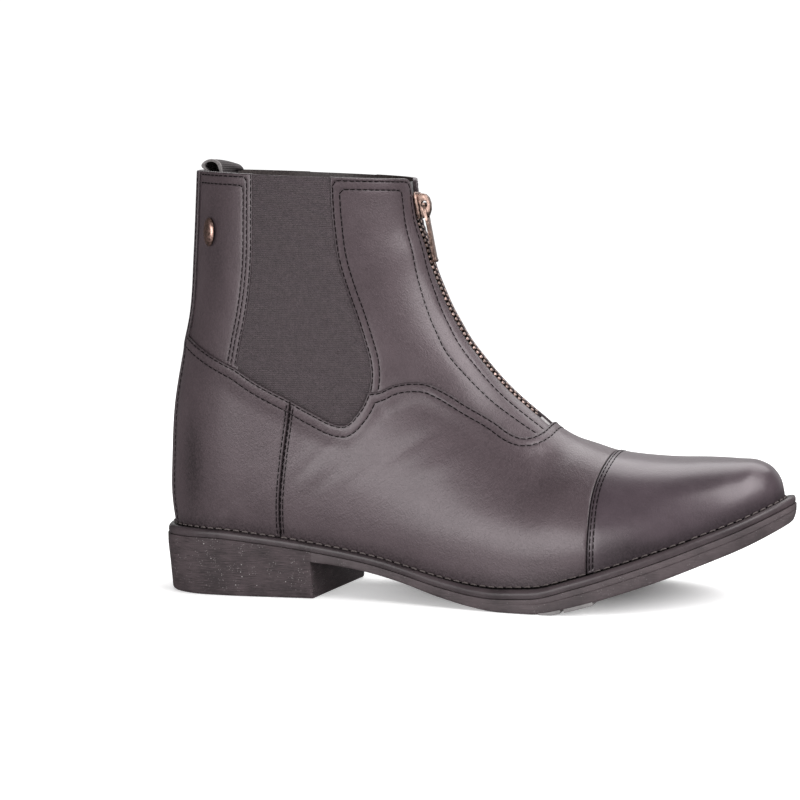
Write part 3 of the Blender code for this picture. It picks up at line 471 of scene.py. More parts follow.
# Where the heel's sections turn upright, their skin is evened out
calm = np.exp(-(((np.arange(RINGS) - 0.635 * RINGS) / 8.5) ** 2))[:, None, None]
for _ in range(9):
    beside = (np.roll(grid, 1, axis=0) + np.roll(grid, -1, axis=0)) / 2
    grid += calm * 0.5 * (beside - grid)
SKIN = grid.reshape(-1, 3)
skin_x, skin_y, skin_z = SKIN.T
skin_out = grid_normals(grid).reshape(-1, 3)
gore_loop = np.vstack([side_line(GORE_REAR), side_line(GORE_BASE), side_line(GORE_FRONT)])
gore = way_to(gore_loop)[0] * within(gore_loop)
panel_edge = np.vstack([side_line(QUARTER_TOP), side_line(GORE_BASE), side_line(GORE_FRONT[:5], 20)])
panel_edge = np.vstack([panel_edge, side_line(VAMP_TOP)])
far, left = way_to(panel_edge)
top_way = np.where(skin_x > along(VAMP_END), np.maximum(far, AWAY), -left * far)
cap_way = np.prod(way_to(side_line(TOE_SEAM)), axis=0)
seam_way = np.prod(way_to(side_line(QUARTER_SEAM)), axis=0)
stay = np.array(BACKSTAY)
stay_way = np.interp(skin_z, stay[:, 0] * BOOT_HEIGHT, stay[:, 1] * BALL_WIDTH) - abs(skin_y)
stay_way = np.where(skin_x < along(0.16), stay_way, -AWAY)
front = skin_x > along(0.30)
throat_way = np.maximum(abs(skin_y) - THROAT / 2, skin_x - along(ZIP_FOOT))
throat_way = np.where(front, throat_way, ELSEWHERE)
step = np.linalg.norm(np.diff(grid, axis=0), axis=2)
hem_way = np.vstack([np.cumsum(step[::-1], axis=0)[::-1], np.zeros((1, grid.shape[1]))]).reshape(-1)
seat_way = skin_z - seat(skin_x) - GAP

# The leather lies deeper under the panels sewn over it
ahead_of_zip = (skin_x - along(VAMP_START)) / (along(VAMP_END) - along(VAMP_START))
under = np.maximum(ease(top_way / EASE), ease(ahead_of_zip))
behind = np.where(skin_x < along(0.2), ease(stay_way / EASE), 0)
LAST = SKIN - skin_out * (np.maximum(under, behind) * PANEL_TOP)[:, None]
OUT = grid_normals(LAST.reshape(grid.shape)).reshape(-1, 3)


def spread(table):
    """Sum of soft spots over the leather, from listed rows."""
    total = np.zeros(len(LAST))
    for share, height, side, turn, reach, breadth, amount in table:
        dx = (LAST[:, 0] - along(share)) / MM
        dz = (LAST[:, 2] - height * BOOT_HEIGHT) / MM
        a = math.radians(turn)
        lengthwise = (dx * math.cos(a) + dz * math.sin(a)) / reach
        crosswise = (dz * math.cos(a) - dx * math.sin(a)) / breadth
        spot = amount * np.exp(-(lengthwise**2) - crosswise**2)
        total += np.where((side == 0) | (LAST[:, 1] * side > 0), spot, 0)
    return total


fold = spread(FOLDS) * MM

# Rows of sewing, as ways to the row. The two beside the zip draw together towards the collar
reach = [0.40 * BOOT_HEIGHT, 0.95 * BOOT_HEIGHT]
zip_way, zip_way_wide = (
    np.where(front, abs(skin_y) - np.interp(skin_z, reach, widths), ELSEWHERE)
    for widths in ([0.0108, 0.0063], [0.0157, 0.0125])
)
rear = skin_x < along(0.27)
rim_way = rounded(hem_way, throat_way, 4.5 * MM)
top_row = rounded(rounded(hem_way - 1.6 * MM, zip_way, 3.4 * MM), -gore - MM, 1.5 * MM)
top_row_low = rounded(rounded(hem_way - 5.4 * MM, zip_way_wide, 2.0 * MM), -gore - 4.2 * MM, 1.2 * MM)
row_near = np.where(rear, -gore - 0.9 * MM, top_row)
row_far = np.where(rear, rounded(-gore - 3.1 * MM, hem_way - 1.6 * MM, 1.2 * MM), top_row_low)
row_last = np.where(rear, rounded(-gore - 4.9 * MM, hem_way - 5.4 * MM, 1.2 * MM), ELSEWHERE)
lower = np.interp(skin_x, along(np.array([0.33, 0.40])), [5.2 * MM, 4.2 * MM])

tape_way = np.minimum(TAPE_WIDTH / 2 - abs(skin_y), along(ZIP_FOOT) + MM - skin_x)
FIELDS = dict(
    gore=gore,
    leather_gore=-gore,
    tape=np.where(front, tape_way, -AWAY),
    before_seam=-seam_way,
    before_cap=-cap_way,
    beside_stay=-stay_way,
    top=top_way,
    cap=cap_way,
    seam=seam_way,
    stay=stay_way,
    throat=throat_way,
    hem=hem_way,
    rim=rim_way,
    seat=seat_way,
    near=row_near,
    far=row_far,
    last=row_last,
    upper_row=top_way - MM,
    lower_row=top_way - lower,
    seam_row=seam_way - 1.75 * MM,
    seam_edge_row=seam_way - 0.62 * MM,
    seam_rear_row=-seam_way - 1.45 * MM,
    cap_row=cap_way - 1.2 * MM,
    cap_row_wide=cap_way - 2.7 * MM,
    stay_row=stay_way - 1.2 * MM,
    fold=fold,
    # Spots of painted shade and painted highlight on the leather
    painted_light=spread(PAINTED_LIGHT),
    height=skin_z,
    share=(skin_x + HEEL_CENTRE) / SOLE_LENGTH,
)
COLUMN = {name: 6 + i for i, name in enumerate(FIELDS)}
VALUES = np.column_stack([LAST, OUT, *FIELDS.values()])


def skin_faces():
    """Triangles of the whole skin, closed round the tip of the toe, turned out."""
    size = 2 * HALF_RING
    low = np.arange(RINGS - 1)[:, None] * size
    j = np.arange(size)[None, :]
    a = (low + j).reshape(-1)
    b = (low + (j + 1) % size).reshape(-1)
    faces = np.vstack([np.column_stack([a, b, b + size]), np.column_stack([a, b + size, a + size])])
    tip = [(0, 1, size - 1)]
    for k in range(1, HALF_RING):
        tip.append((k, k + 1, size - k))
        if size - k - 1 != k + 1:
            tip.append((k + 1, size - k - 1, size - k))
    corner = VALUES[faces[:, :, None], [0, 1, 2]]
    flat = np.cross(corner[:, 1] - corner[:, 0], corner[:, 2] - corner[:, 0])
    if (flat * VALUES[faces[:, 0], 3:6]).sum() < 0:
        faces = faces[:, ::-1]
    else:
        tip = [face[::-1] for face in tip]
    return np.vstack([faces, np.array(tip)])


SKIN_FACES = skin_faces()


def sides_of(faces):
    """The three sides of every triangle, as pairs of corners."""
    return np.vstack([faces[:, [k, (k + 1) % 3]] for k in range(3)])


class Hide:
    """A cut of the boot's skin: triangles with the values of their corners."""

    def __init__(self, **limits):
        self.values = VALUES.copy()
        self.faces = SKIN_FACES
        for name, low in limits.items():
            self.keep(name, low)

    def of(self, name):
        return self.values[:, COLUMN[name]]

    def split(self, name, level=0.0):
        """Puts a line of edges where a value passes through the level."""
        column = COLUMN[name]
        value = self.values[:, column] - level
        value[abs(value) < 2e-5] = 0
        edges, place = np.unique(np.sort(sides_of(self.faces), axis=1), axis=0, return_inverse=True)
        low = value[edges[:, 0]]
        high = value[edges[:, 1]]
        crossing = low * high < 0
        share = (low[crossing] / (low[crossing] - high[crossing]))[:, None]
        start = self.values[edges[crossing, 0]]
        fresh = start + (self.values[edges[crossing, 1]] - start) * share
        fresh[:, column] = level
        number = np.full(len(edges), -1)
        number[crossing] = len(self.values) + np.arange(crossing.sum())
        self.values = np.vstack([self.values, fresh])
        on = number[place.reshape(-1)].reshape(3, -1).T
        count = (on >= 0).sum(axis=1)
        made = [self.faces[count == 0]]
        for turn in range(3):
            face = np.roll(self.faces, -turn, axis=1)
            cut = np.roll(on, -turn, axis=1)
            pick = (cut[:, 0] >= 0) & (cut[:, 2] >= 0) & (count == 2)
            a, b, c = face[pick].T
            p = cut[pick, 0]
            q = cut[pick, 2]
            made += [np.column_stack(three) for three in ((a, p, q), (p, b, c), (p, c, q))]
            pick = (count == 1) & (cut[:, 1] >= 0)
            a, b, c = face[pick].T
            p = cut[pick, 1]
            made += [np.column_stack(three) for three in ((a, b, p), (a, p, c))]
        self.faces = np.vstack(made)

    def keep(self, name, level):
        """Cuts along a level and keeps what lies above it."""
        self.split(name, level)
        self.faces = self.faces[self.of(name)[self.faces].mean(axis=1) - level > 0]

    def line(self, name, mask):
        """Chains of corners where a value is 0 and the mask holds."""
        on = (abs(self.of(name)) < ON_LINE) & mask
        pairs = sides_of(self.faces)
        pairs = pairs[on[pairs].all(axis=1)]
        pairs = np.unique(np.sort(pairs, axis=1), axis=0)
        beside = {}
        for a, b in pairs.tolist():
            beside.setdefault(a, []).append(b)
            beside.setdefault(b, []).append(a)
        chains = []
        seen = set()
        for start in sorted(beside, key=lambda k: (len(beside[k]), k)):
            if start in seen:
                continue
            chain = [start]
            seen.add(start)
            while True:
                onward = [k for k in beside[chain[-1]] if k not in seen]
                if not onward:
                    break
                chain.append(onward[0])
                seen.add(onward[0])
            if len(chain) > 3:
                chains.append(np.array(chain))
        return chains


def shade(piece, smooth):
    """Shades a piece smooth up to an angle."""
    piece.data.polygons.foreach_set("use_smooth", [True] * len(piece.data.polygons))
    piece.data.set_sharp_from_angle(angle=math.radians(smooth))
    return piece


def new_piece(name, points, faces, finishes, which=None):
    """A piece from points and faces, riding on the boot."""
    mesh = bpy.data.meshes.new(name)
    mesh.from_pydata(np.asarray(points, float).tolist(), [], [list(map(int, face)) for face in faces])
    for finish in finishes:
        mesh.materials.append(finish)
    if which is not None:
        mesh.polygons.foreach_set("material_index", np.asarray(which, np.int32))
    piece = bpy.data.objects.new(name, mesh)
    bpy.context.scene.collection.objects.link(piece)
    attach(piece, "boot")
    return piece


def turn_out(piece, smooth):
    """Turns the faces of a closed piece outward and shades it smooth up to an angle."""
    made = bmesh.new()
    made.from_mesh(piece.data)
    bmesh.ops.recalc_face_normals(made, faces=made.faces)
    made.to_mesh(piece.data)
    made.free()
    return shade(piece, smooth)


def note(piece, name, values):
    """A value for each point of the mesh, that its material reads."""
    layer = piece.data.attributes.new(name, "FLOAT", "POINT")
    layer.data.foreach_set("value", np.asarray(values, np.float32))


def rounded_edge(way, reach):
    """How far the surface drops towards a rounded edge."""
    d = np.clip(way, 0, reach)
    return reach - np.sqrt(reach**2 - (reach - d) ** 2)


def sewn(name, hide, over, under, edges, rows, finishes, rounding=0.0006, groove=0.00013):
    """A closed piece between two heights over the last, with rounded edges and a groove along each row
    of sewing. Edges holds the values that run out at its edges, and rows the mask of each row."""
    for field, level in edges.items():
        for way in (0.0, 0.15 * rounding, 0.45 * rounding, rounding):
            hide.split(field, level + way)
    for field in rows:
        for way in (-0.5 * MM, 0.0, 0.5 * MM):
            hide.split(field, way)
    used, place = np.unique(hide.faces, return_inverse=True)
    hide.faces = place.reshape(hide.faces.shape)
    hide.values = hide.values[used]
    edge = np.full(len(used), AWAY)
    for field, level in edges.items():
        edge = np.minimum(edge, hide.of(field) - level)
    row = np.full(len(used), AWAY)
    for field, mask in rows.items():
        row = np.minimum(row, np.where(mask(hide), abs(hide.of(field)), AWAY))
    down = rounded_edge(edge, rounding) + groove * np.exp(-((row / (0.45 * MM)) ** 2))
    fold = hide.of("fold")
    points = hide.values[:, :3]
    out = hide.values[:, 3:6]
    top = points + out * (over + fold - down)[:, None]
    base = points + out * (under + fold)[:, None]
    count = len(used)
    faces = hide.faces
    pairs = sides_of(faces)
    _, first, times = np.unique(np.sort(pairs, axis=1), axis=0, return_index=True, return_counts=True)
    rim = pairs[first[times == 1]]
    walls = np.column_stack([rim[:, 1], rim[:, 0], rim[:, 0] + count, rim[:, 1] + count])
    every = faces.tolist() + (faces[:, ::-1] + count).tolist() + walls.tolist()
    which = [0] * len(faces) + [1] * len(faces) + [0] * len(walls)
    piece = shade(new_piece(name, np.vstack([top, base]), every, finishes, which), 50)
    note(piece, "row", np.concatenate([row, np.full(count, AWAY)]))
    note(piece, "edge", np.concatenate([edge, np.zeros(count)]))
    hide.top = top
    if over > 0:
        for chain in hide.line("seat", abs(hide.of("seat")) < ON_LINE):
            FEATHER.append(top[chain] + unit(hide.values[chain, 3:6] * [1, 1, 0]) * BESIDE_UPPER)
    return piece


THREADS = []
FEATHER = []


def run_stitches(points, out, pitch, length, lift, thread, into):
    """Notes the stitches along a line: place, half a stitch along it, half a thread across and out."""
    way = run_up(np.linalg.norm(np.diff(points, axis=0), axis=1))
    count = int(way[-1] / pitch)
    if count < 2:
        return
    at = (np.arange(count) + 0.5) * way[-1] / count
    for k in at:
        ends = [value_at(k + s * length / 2, way, points) for s in (-1, 1)]
        normal = unit(value_at(k, way, out))
        run = ends[1] - ends[0]
        long = np.linalg.norm(run)
        if long < 0.5 * length:
            continue
        run /= long
        side = unit(np.cross(normal, run))
        place = (ends[0] + ends[1]) / 2 + normal * lift
        into.append((place, run * length / 2, side * thread / 2, normal * thread / 2))


def stitch_form():
    """One stitch, from -1 to 1 along, with its ends dipping into the leather."""
    points = []
    ends = ((0.72, 0.95, 0.25), (1.0, 0.45, 0.75))
    for x, size, dip in ((-1.0, 0.45, 0.75), (-0.72, 0.95, 0.25), (0.0, 1.0, 0.0), *ends):
        for turn in np.radians(np.arange(0, 360, 60)):
            points.append((x, size * math.cos(turn), size * math.sin(turn) - dip))
    return np.array(points), loop_faces(5, 6) + [(5, 4, 3, 2, 1, 0), (24, 25, 26, 27, 28, 29)]


def many(name, form, faces, places, finish, smooth=60):
    """Copies of one form, each at its place with its three directions, joined in one piece."""
    points = []
    every = []
    for number, (place, a, b, c) in enumerate(places):
        points.append(place + form[:, :1] * a + form[:, 1:2] * b + form[:, 2:3] * c)
        every += [tuple(i + number * len(form) for i in face) for face in faces]
    return turn_out(new_piece(name, np.vstack(points), every, [finish]), smooth)


class Link:
    """A socket of a finish, that takes part in plain arithmetic."""

    def __init__(self, finish, socket):
        self.finish = finish
        self.socket = socket

    def maths(self, operation, a, b):
        return self.finish.add("ShaderNodeMath", {"operation": operation}, {0: a, 1: b})

    def __add__(self, other):
        return self.maths("ADD", self, other)

    def __sub__(self, other):
        return self.maths("SUBTRACT", self, other)

    def __rsub__(self, other):
        return self.maths("SUBTRACT", other, self)

    def __mul__(self, other):
        return self.maths("MULTIPLY", self, other)

    def __abs__(self):
        return self.maths("ABSOLUTE", self, 0.0)

    def sine(self):
        return self.maths("SINE", self, 0.0)


class Finish:
    """A material under work."""

    def __init__(self, name, colour, metallic, roughness, **fixed):
        self.material = bpy.data.materials.new(name)
        self.material.use_nodes = True
        self.tree = self.material.node_tree
        self.shader = self.tree.nodes["Principled BSDF"]
        self.put(self.shader.inputs["Base Color"], (*colour, 1))
        self.put(self.shader.inputs["Metallic"], metallic)
        self.put(self.shader.inputs["Roughness"], roughness)
        for key, value in fixed.items():
            self.put(self.shader.inputs[key.replace("_", " ")], value)
        self.spot = self.add("ShaderNodeTexCoord", {}, {}, "Object")

    def put(self, socket, value):
        if isinstance(value, Link):
            self.tree.links.new(value.socket, socket)
        else:
            socket.default_value = value

    def add(self, kind, settings, inputs, out=0):
        node = self.tree.nodes.new(kind)
        for key, value in settings.items():
            setattr(node, key, value)
        for key, value in inputs.items():
            self.put(node.inputs[key], value)
        return Link(self, node.outputs[out])

    def axes(self, vector):
        """The three numbers of a vector."""
        node = self.tree.nodes.new("ShaderNodeSeparateXYZ")
        self.put(node.inputs[0], vector)
        return [Link(self, out) for out in node.outputs]

    def turned(self, turn=(0, 0, 0), scale=(1, 1, 1)):
        """Places turned by degrees, then stretched."""
        angle = tuple(math.radians(a) for a in turn)
        flat = self.add("ShaderNodeMapping", {}, {"Vector": self.spot, "Rotation": angle})
        return self.add("ShaderNodeMapping", {}, {"Vector": flat, "Scale": scale})

    def noise(self, size, detail=2.0, rough=0.5, where=None):
        """Soft spots about as wide as the size, in mm."""
        inputs = {"Vector": where or self.spot, "Scale": 1000 / size, "Detail": detail, "Roughness": rough}
        return self.add("ShaderNodeTexNoise", {}, inputs)

    def cells(self, size):
        """Distance from the middle of the nearest of many spots, about the size apart in mm."""
        return self.add("ShaderNodeTexVoronoi", {}, {"Vector": self.spot, "Scale": 1000 / size})

    def step(self, value, low, high, start=0.0, end=1.0):
        """From start to end, softly, as the value goes from low to high."""
        inputs = {"Value": value, 1: low, 2: high, 3: start, 4: end}
        return self.add("ShaderNodeMapRange", {"interpolation_type": "SMOOTHSTEP"}, inputs)

    def note(self, name):
        return self.add("ShaderNodeAttribute", {"attribute_name": name}, {}, "Fac")

    def mix(self, share, one, other):
        one = one if isinstance(one, Link) else (*one, 1)
        other = other if isinstance(other, Link) else (*other, 1)
        return self.add("ShaderNodeMix", {"data_type": "RGBA"}, {0: share, 6: one, 7: other}, 2)

    def coloured(self, colour):
        self.put(self.shader.inputs["Base Color"], colour)

    def rough(self, value):
        self.put(self.shader.inputs["Roughness"], value)

    def bumped(self, height, depth, strength=1.0):
        """A bump over what is there. Depth in mm is what a height of 1 stands for."""
        socket = self.shader.inputs["Normal"]
        inputs = {"Height": height, "Distance": depth * MM, "Strength": strength}
        if socket.is_linked:
            inputs["Normal"] = Link(self, socket.links[0].from_socket)
        self.put(socket, self.add("ShaderNodeBump", {}, inputs))


def tint(colour, by):
    """The colour made lighter or darker."""
    return tuple(by * c for c in colour)


def leather(name, colour, gloss=0.40, creases=1.0, grain=1.0):
    """Smooth calf: mottled in soft clouds, with listed spots of painted shade and painted highlight,
    painted shade in the rows of sewing, darker over the welt from painted shade and from burnishing, with
    pores and hair-fine creases.
    """
    fixed = {"Coat_Weight": 0.30, "Coat_Roughness": 0.24, "Specular_IOR_Level": 0.5}
    fixed |= {"Specular_Tint": (1.0, 0.88, 0.92, 1), "Coat_Tint": (1.0, 0.95, 0.97, 1)}
    skin = Finish(name, colour, 0.0, gloss, **fixed)
    row = skin.note("row") * 1000
    edge = skin.note("edge") * 1000
    creased = skin.note("creased")
    cloud = skin.noise(42, 3, 0.55)
    spots = skin.noise(9, 4, 0.6)
    fine = skin.noise(0.9, 3, 0.6)
    pores = skin.cells(0.55)
    lines = skin.noise(1.0, 4, 0.65, skin.turned((0, 34, 0), (0.26, 0.5, 1.1)))
    across = skin.noise(1.0, 3, 0.6, skin.turned((0, -48, 0), (0.32, 0.5, 1.2)))
    hair = skin.step(lines, 0.50, 0.62) * creased
    # Darker along the rows of sewing: painted shade in their grooves
    seams = 1 - skin.step(row, 0.15, 0.80)
    edges = 1 - skin.step(edge, 0.1, 0.9)
    tone = skin.mix(skin.step(cloud, 0.25, 0.75), tint(colour, 0.80), tint(colour, 1.18))
    for share, by in (
        (skin.step(spots, 0.35, 0.75) * 0.24, 1.5),
        # Painted shade where the spots are above 0, painted highlights where they are below
        (skin.step(skin.note("painted_light"), 0.0, 1.0, 0.0, 0.95), 0.25),
        (skin.step(skin.note("painted_light"), -1.0, 0.0, 0.95, 0.0), 1.9),
        # Darker over the welt: painted shade under the upper's overhang, and burnished darker leather too
        (skin.step(skin.note("foot") * 1000, 0.5, 8.0, 0.65, 0.0), 0.25),
        (seams * 0.72, 0.25),
        (edges * 0.85, 0.20),
        (hair * 0.16, 1.7),
        (skin.step(fine, 0.35, 0.65) * 0.45 * grain, 1.5),
    ):
        tone = skin.mix(share, tone, tint(colour, by))
    skin.coloured(tone)
    skin.rough((spots - 0.5) * 0.16 + (fine - 0.5) * 0.10 + edges * 0.10 + gloss)
    skin.bumped(skin.noise(14, 3, 0.5), 0.35, 0.55)
    skin.bumped(skin.noise(3.4, 3, 0.6), 0.09 * creases)
    skin.bumped(lines * creased, 0.22 * creases)
    skin.bumped(across * creased, 0.10 * creases)
    skin.bumped(skin.step(pores, 0.05, 0.45), 0.045 * grain)
    skin.bumped(fine, 0.13 * grain)
    return skin.material


def cloth(name, colour, rib, depth, light=1.6, sheen=0.25):
    """Woven or ribbed cloth. The ribs lie level, a rib's width apart in mm."""
    weave = Finish(name, colour, 0.0, 0.85, Sheen_Weight=sheen, Sheen_Roughness=0.5)
    x, y, z = weave.axes(weave.spot)
    ribs = (z * (1000 / rib) * (2 * math.pi)).sine() * 0.5 + 0.5
    stands = ((x + y * 0.4) * (1000 / (rib * 0.8)) * (2 * math.pi)).sine()
    uneven = weave.noise(0.6, 3, 0.8)
    share = ribs * 0.25 + weave.step(uneven, 0.38, 0.62) * 0.45
    share = share + weave.step(weave.noise(2.2, 3, 0.7), 0.3, 0.7) * 0.22
    tone = weave.mix(share, tint(colour, 0.6), tint(colour, light))
    speck = weave.step(weave.cells(1.7), 0.08, 0.20, 1.0, 0.0) * weave.step(weave.noise(3), 0.45, 0.6)
    weave.coloured(weave.mix(speck * 0.35, tone, tint(colour, 4)))
    weave.bumped(ribs + stands * 0.18 + uneven * 0.5, depth)
    return weave.material


def rubber(name, colour, scratched=0.0, specks=0.0, roughness=0.6, feather=False):
    """Moulded rubber, dull, with fine level scratches and pale specks where asked, and painted shade along
    the feather line where asked.
    """
    sole = Finish(name, colour, 0.0, roughness, Specular_IOR_Level=0.35)
    patch = sole.noise(16, 4, 0.6)
    tone = sole.mix(sole.step(patch, 0.3, 0.7), tint(colour, 0.75), tint(colour, 1.3))
    level = sole.noise(1.0, 5, 0.75, sole.turned((0, 0, 0), (0.15, 0.15, 3.0)))
    if scratched:
        thin = sole.noise(1.0, 4, 0.8, sole.turned((0, 0, 0), (0.09, 0.09, 6.0)))
        worn = sole.step(sole.noise(14, 2), 0.40, 0.62)
        for share, by in (
            (sole.step(level, 0.52, 0.68), 2.1),
            (sole.step(level, 0.34, 0.48, 1.0, 0.0), 0.30),
            (sole.step(thin, 0.36, 0.44, 1.0, 0.0) * worn, 0.12),
        ):
            tone = sole.mix(share * scratched, tone, tint(colour, by))
        sole.bumped(level, 0.30 * scratched)
    if specks:
        dust = sole.step(sole.cells(2.3), 0.07, 0.13, 1.0, 0.0) * sole.step(sole.noise(11, 3), 0.54, 0.60)
        fine = sole.step(sole.cells(1.0), 0.12, 0.24, 1.0, 0.0) * sole.step(sole.noise(7, 3), 0.48, 0.62)
        tone = sole.mix((dust + fine * 0.5) * specks, tone, (0.55, 0.52, 0.51))
    # Near black on the welt's inner levels by the upper: painted shade in the groove under the upper
    if feather:
        tone = sole.mix(sole.note("feather"), tone, (0.004, 0.003, 0.003))
    sole.coloured(tone)
    sole.rough((patch - 0.5) * 0.2 + roughness)
    normal = sole.add("ShaderNodeNewGeometry", {}, {}, "True Normal")
    down = sole.step(sole.axes(normal)[2], -0.97, -0.85, 1.0, 0.0)
    sole.bumped(sole.step(sole.cells(3.2), 0.30, 0.42, 1.0, 0.0) * down, 0.45)
    sole.bumped(sole.noise(0.5, 3, 0.6), 0.03)
    sole.bumped(sole.noise(5, 3, 0.5), 0.12)
    return sole.material


def bronze(name, colour=(0.40, 0.26, 0.22), middle_shade=0.0):
    """Rose-brown plated metal, rubbed brighter here and there, with painted shade down its middle where
    asked.
    """
    metal = Finish(name, colour, 1.0, 0.33)
    rub = metal.noise(1.6, 3, 0.6)
    tone = metal.mix(metal.step(rub, 0.4, 0.7), tint(colour, 0.6), tint(colour, 1.6))
    # Painted shade in the gap down the middle, between the two rows of teeth
    if middle_shade:
        beside = abs(metal.axes(metal.spot)[1])
        share = metal.step(beside * 1000, 0.7, 1.9, middle_shade, 0.0)
        tone = metal.mix(share, tone, tint(colour, 0.06))
    metal.coloured(tone)
    metal.rough((rub - 0.5) * 0.25 + 0.33)
    metal.bumped(metal.noise(0.35, 2), 0.012)
    return metal.material


def thread(name, colour, shine=0.25):
    """Twisted sewing thread."""
    strand = Finish(name, colour, 0.0, 0.75, Specular_IOR_Level=shine)
    strand.coloured(strand.mix(strand.noise(0.35, 2), tint(colour, 0.6), tint(colour, 1.5)))
    strand.bumped(strand.noise(0.22, 2), 0.05)
    return strand.material


CALF = leather("calf_leather", (0.047, 0.035, 0.039))
CAP_CALF = leather("toe_cap_leather", (0.043, 0.032, 0.038), gloss=0.36, creases=0.25, grain=0.5)
LINING = leather("lining_leather", (0.060, 0.050, 0.046), gloss=0.6, creases=0.3)
ELASTIC = cloth("ribbed_elastic", (0.034, 0.025, 0.028), 0.95, 0.30, light=2.4, sheen=0.10)
TAPE_CLOTH = cloth("zip_tape_cloth", (0.035, 0.032, 0.033), 0.55, 0.12)
STRAP_CLOTH = cloth("strap_cloth", (0.044, 0.037, 0.039), 0.9, 0.16, sheen=0.0)
# The piped edges' light grey stands for their own colour and for a painted highlight
PIPING_AND_HIGHLIGHT = cloth("strap_piping_and_highlight", (0.20, 0.185, 0.185), 0.6, 0.08, light=1.4, sheen=0.0)
BLACK_THREAD = thread("black_thread", (0.0042, 0.0028, 0.0032), 0.06)
LIGHT_THREAD = thread("welt_thread", (0.085, 0.070, 0.069))
SOLE_RUBBER = rubber("sole_rubber", (0.056, 0.043, 0.046), 0.30, 0.35)
HEEL_RUBBER = rubber("heel_rubber", (0.044, 0.032, 0.035), 0.85, 0.7, 0.65)
WELT_RUBBER = rubber("welt_rubber", (0.042, 0.032, 0.035), 0.10, 0.1, 0.38, feather=True)
GREY_RUBBER = rubber("grey_rubber", (0.19, 0.18, 0.18), 0.0, 0.0, 0.6)
BRONZE = bronze("rose_bronze")
ZIP_BRONZE = bronze("zip_bronze", (0.27, 0.185, 0.155))
# The teeth take a lighter bronze than the slider, a painted highlight, and painted shade down the zip's
# middle
TEETH_BRONZE = bronze("teeth_bronze", (0.62, 0.45, 0.40), 0.9)


def open_leather(hide):
    """Where the leather shows beside the panels."""
    return (hide.of("top") < -0.4 * MM) & (hide.of("stay") < -0.4 * MM) & (hide.of("share") < 0.66)


def clear_of_seat(hide):
    return hide.of("seat") > 0.8 * MM


def top_rows(hide):
    return clear_of_seat(hide) & (hide.of("share") < 0.66)


def beside_seam(hide):
    return clear_of_seat(hide) & (hide.of("top") > 1.5 * MM)


def fitted(name, node, slot, cuts, edges, over, under, rows, finishes, side=0, **more):
    """A piece cut from the skin, from the height under to the height over, on one side of the boot or on
    both, with its creases and its rows of stitches. Cuts says where each value ends it."""
    hide = Hide(**cuts)
    if side:
        hide.faces = hide.faces[hide.values[hide.faces[:, 0], 1] * side > 0]
    levels = {field: cuts.get(field, 0.0) for field in edges}
    piece = sewn(name, hide, over, under, levels, rows, finishes, **more)
    # Creased over the ankle and the sides of the vamp
    height = hide.of("height") / BOOT_HEIGHT
    creased = np.exp(-(((hide.of("share") - 0.40) / 0.20) ** 2) - (((height - 0.32) / 0.22) ** 2))
    # The leather's finish reads how creased it is, the way up from the welt, which brings painted shade,
    # and the spots of painted shade and highlight
    looks = dict(creased=0.12 + 0.88 * creased, foot=hide.of("seat"), painted_light=hide.of("painted_light"))
    for field, value in looks.items():
        note(piece, field, np.concatenate([value, value]))
    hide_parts(node)
    for field, mask in rows.items():
        for chain in hide.line(field, mask(hide)):
            out = hide.values[chain, 3:6]
            run_stitches(hide.top[chain], out, PITCH, STITCH, THREAD_LIFT, THREAD, THREADS)


# Upper and panels
fitted(
    "leather_upper",
    "upper",
    "leather",
    dict(seat=0.0, leather_gore=0.0, rim=0.0),
    ("leather_gore", "rim"),
    0.0,
    -LEATHER,
    dict(near=open_leather, far=open_leather, last=open_leather),
    [CALF, LINING],
)
for name, side in (("quarter_outer", -1), ("quarter_inner", 1)):
    fitted(
        name + "_panel",
        name,
        "leather",
        dict(seat=0.0, top=0.0, before_seam=SLIT, beside_stay=SLIT),
        ("top", "before_seam", "beside_stay"),
        PANEL_TOP,
        TIGHT,
        dict(upper_row=top_rows, lower_row=top_rows, seam_rear_row=beside_seam),
        [CALF, LINING],
        side,
    )
fitted(
    "vamp_panel",
    "vamp",
    "leather",
    dict(seat=0.0, top=0.0, seam=SLIT, before_cap=SLIT, throat=0.0),
    ("top", "seam", "before_cap", "throat"),
    PANEL_TOP,
    TIGHT,
    dict(upper_row=top_rows, lower_row=top_rows, seam_row=beside_seam, seam_edge_row=beside_seam),
    [CALF, LINING],
)
fitted(
    "toe_cap_panel",
    "toe_cap",
    "leather",
    dict(seat=0.0, cap=SLIT),
    ("cap",),
    CAP_TOP,
    TIGHT,
    dict(cap_row=clear_of_seat, cap_row_wide=clear_of_seat),
    [CAP_CALF, LINING],
)
fitted(
    "backstay_strip",
    "backstay",
    "leather",
    dict(seat=0.0, stay=0.0),
    ("stay", "hem"),
    PANEL_TOP,
    TIGHT,
    dict(stay_row=clear_of_seat),
    [CALF, LINING],
)

# Elastic sides and zip tape
for name, side in (("gore_outer", -1), ("gore_inner", 1)):
    fitted(
        name + "_elastic",
        name,
        "elastic",
        dict(gore=-0.1 * MM, hem=0.2 * MM),
        ("hem",),
        -0.0005,
        -LEATHER + GAP,
        {},
        [ELASTIC, LINING],
        side,
        rounding=0.0003,
    )
fitted(
    "zip_tape_cloth",
    "zip_tape",
    "zip_cloth",
    dict(seat=0.0, tape=0.0, hem=1.5 * MM),
    ("tape",),
    -LEATHER - 0.0001,
    -LEATHER - GAP - 0.0009,
    {},
    [TAPE_CLOTH, TAPE_CLOTH],
    rounding=0.0003,
)
many("leather_stitches", *stitch_form(), THREADS, BLACK_THREAD)


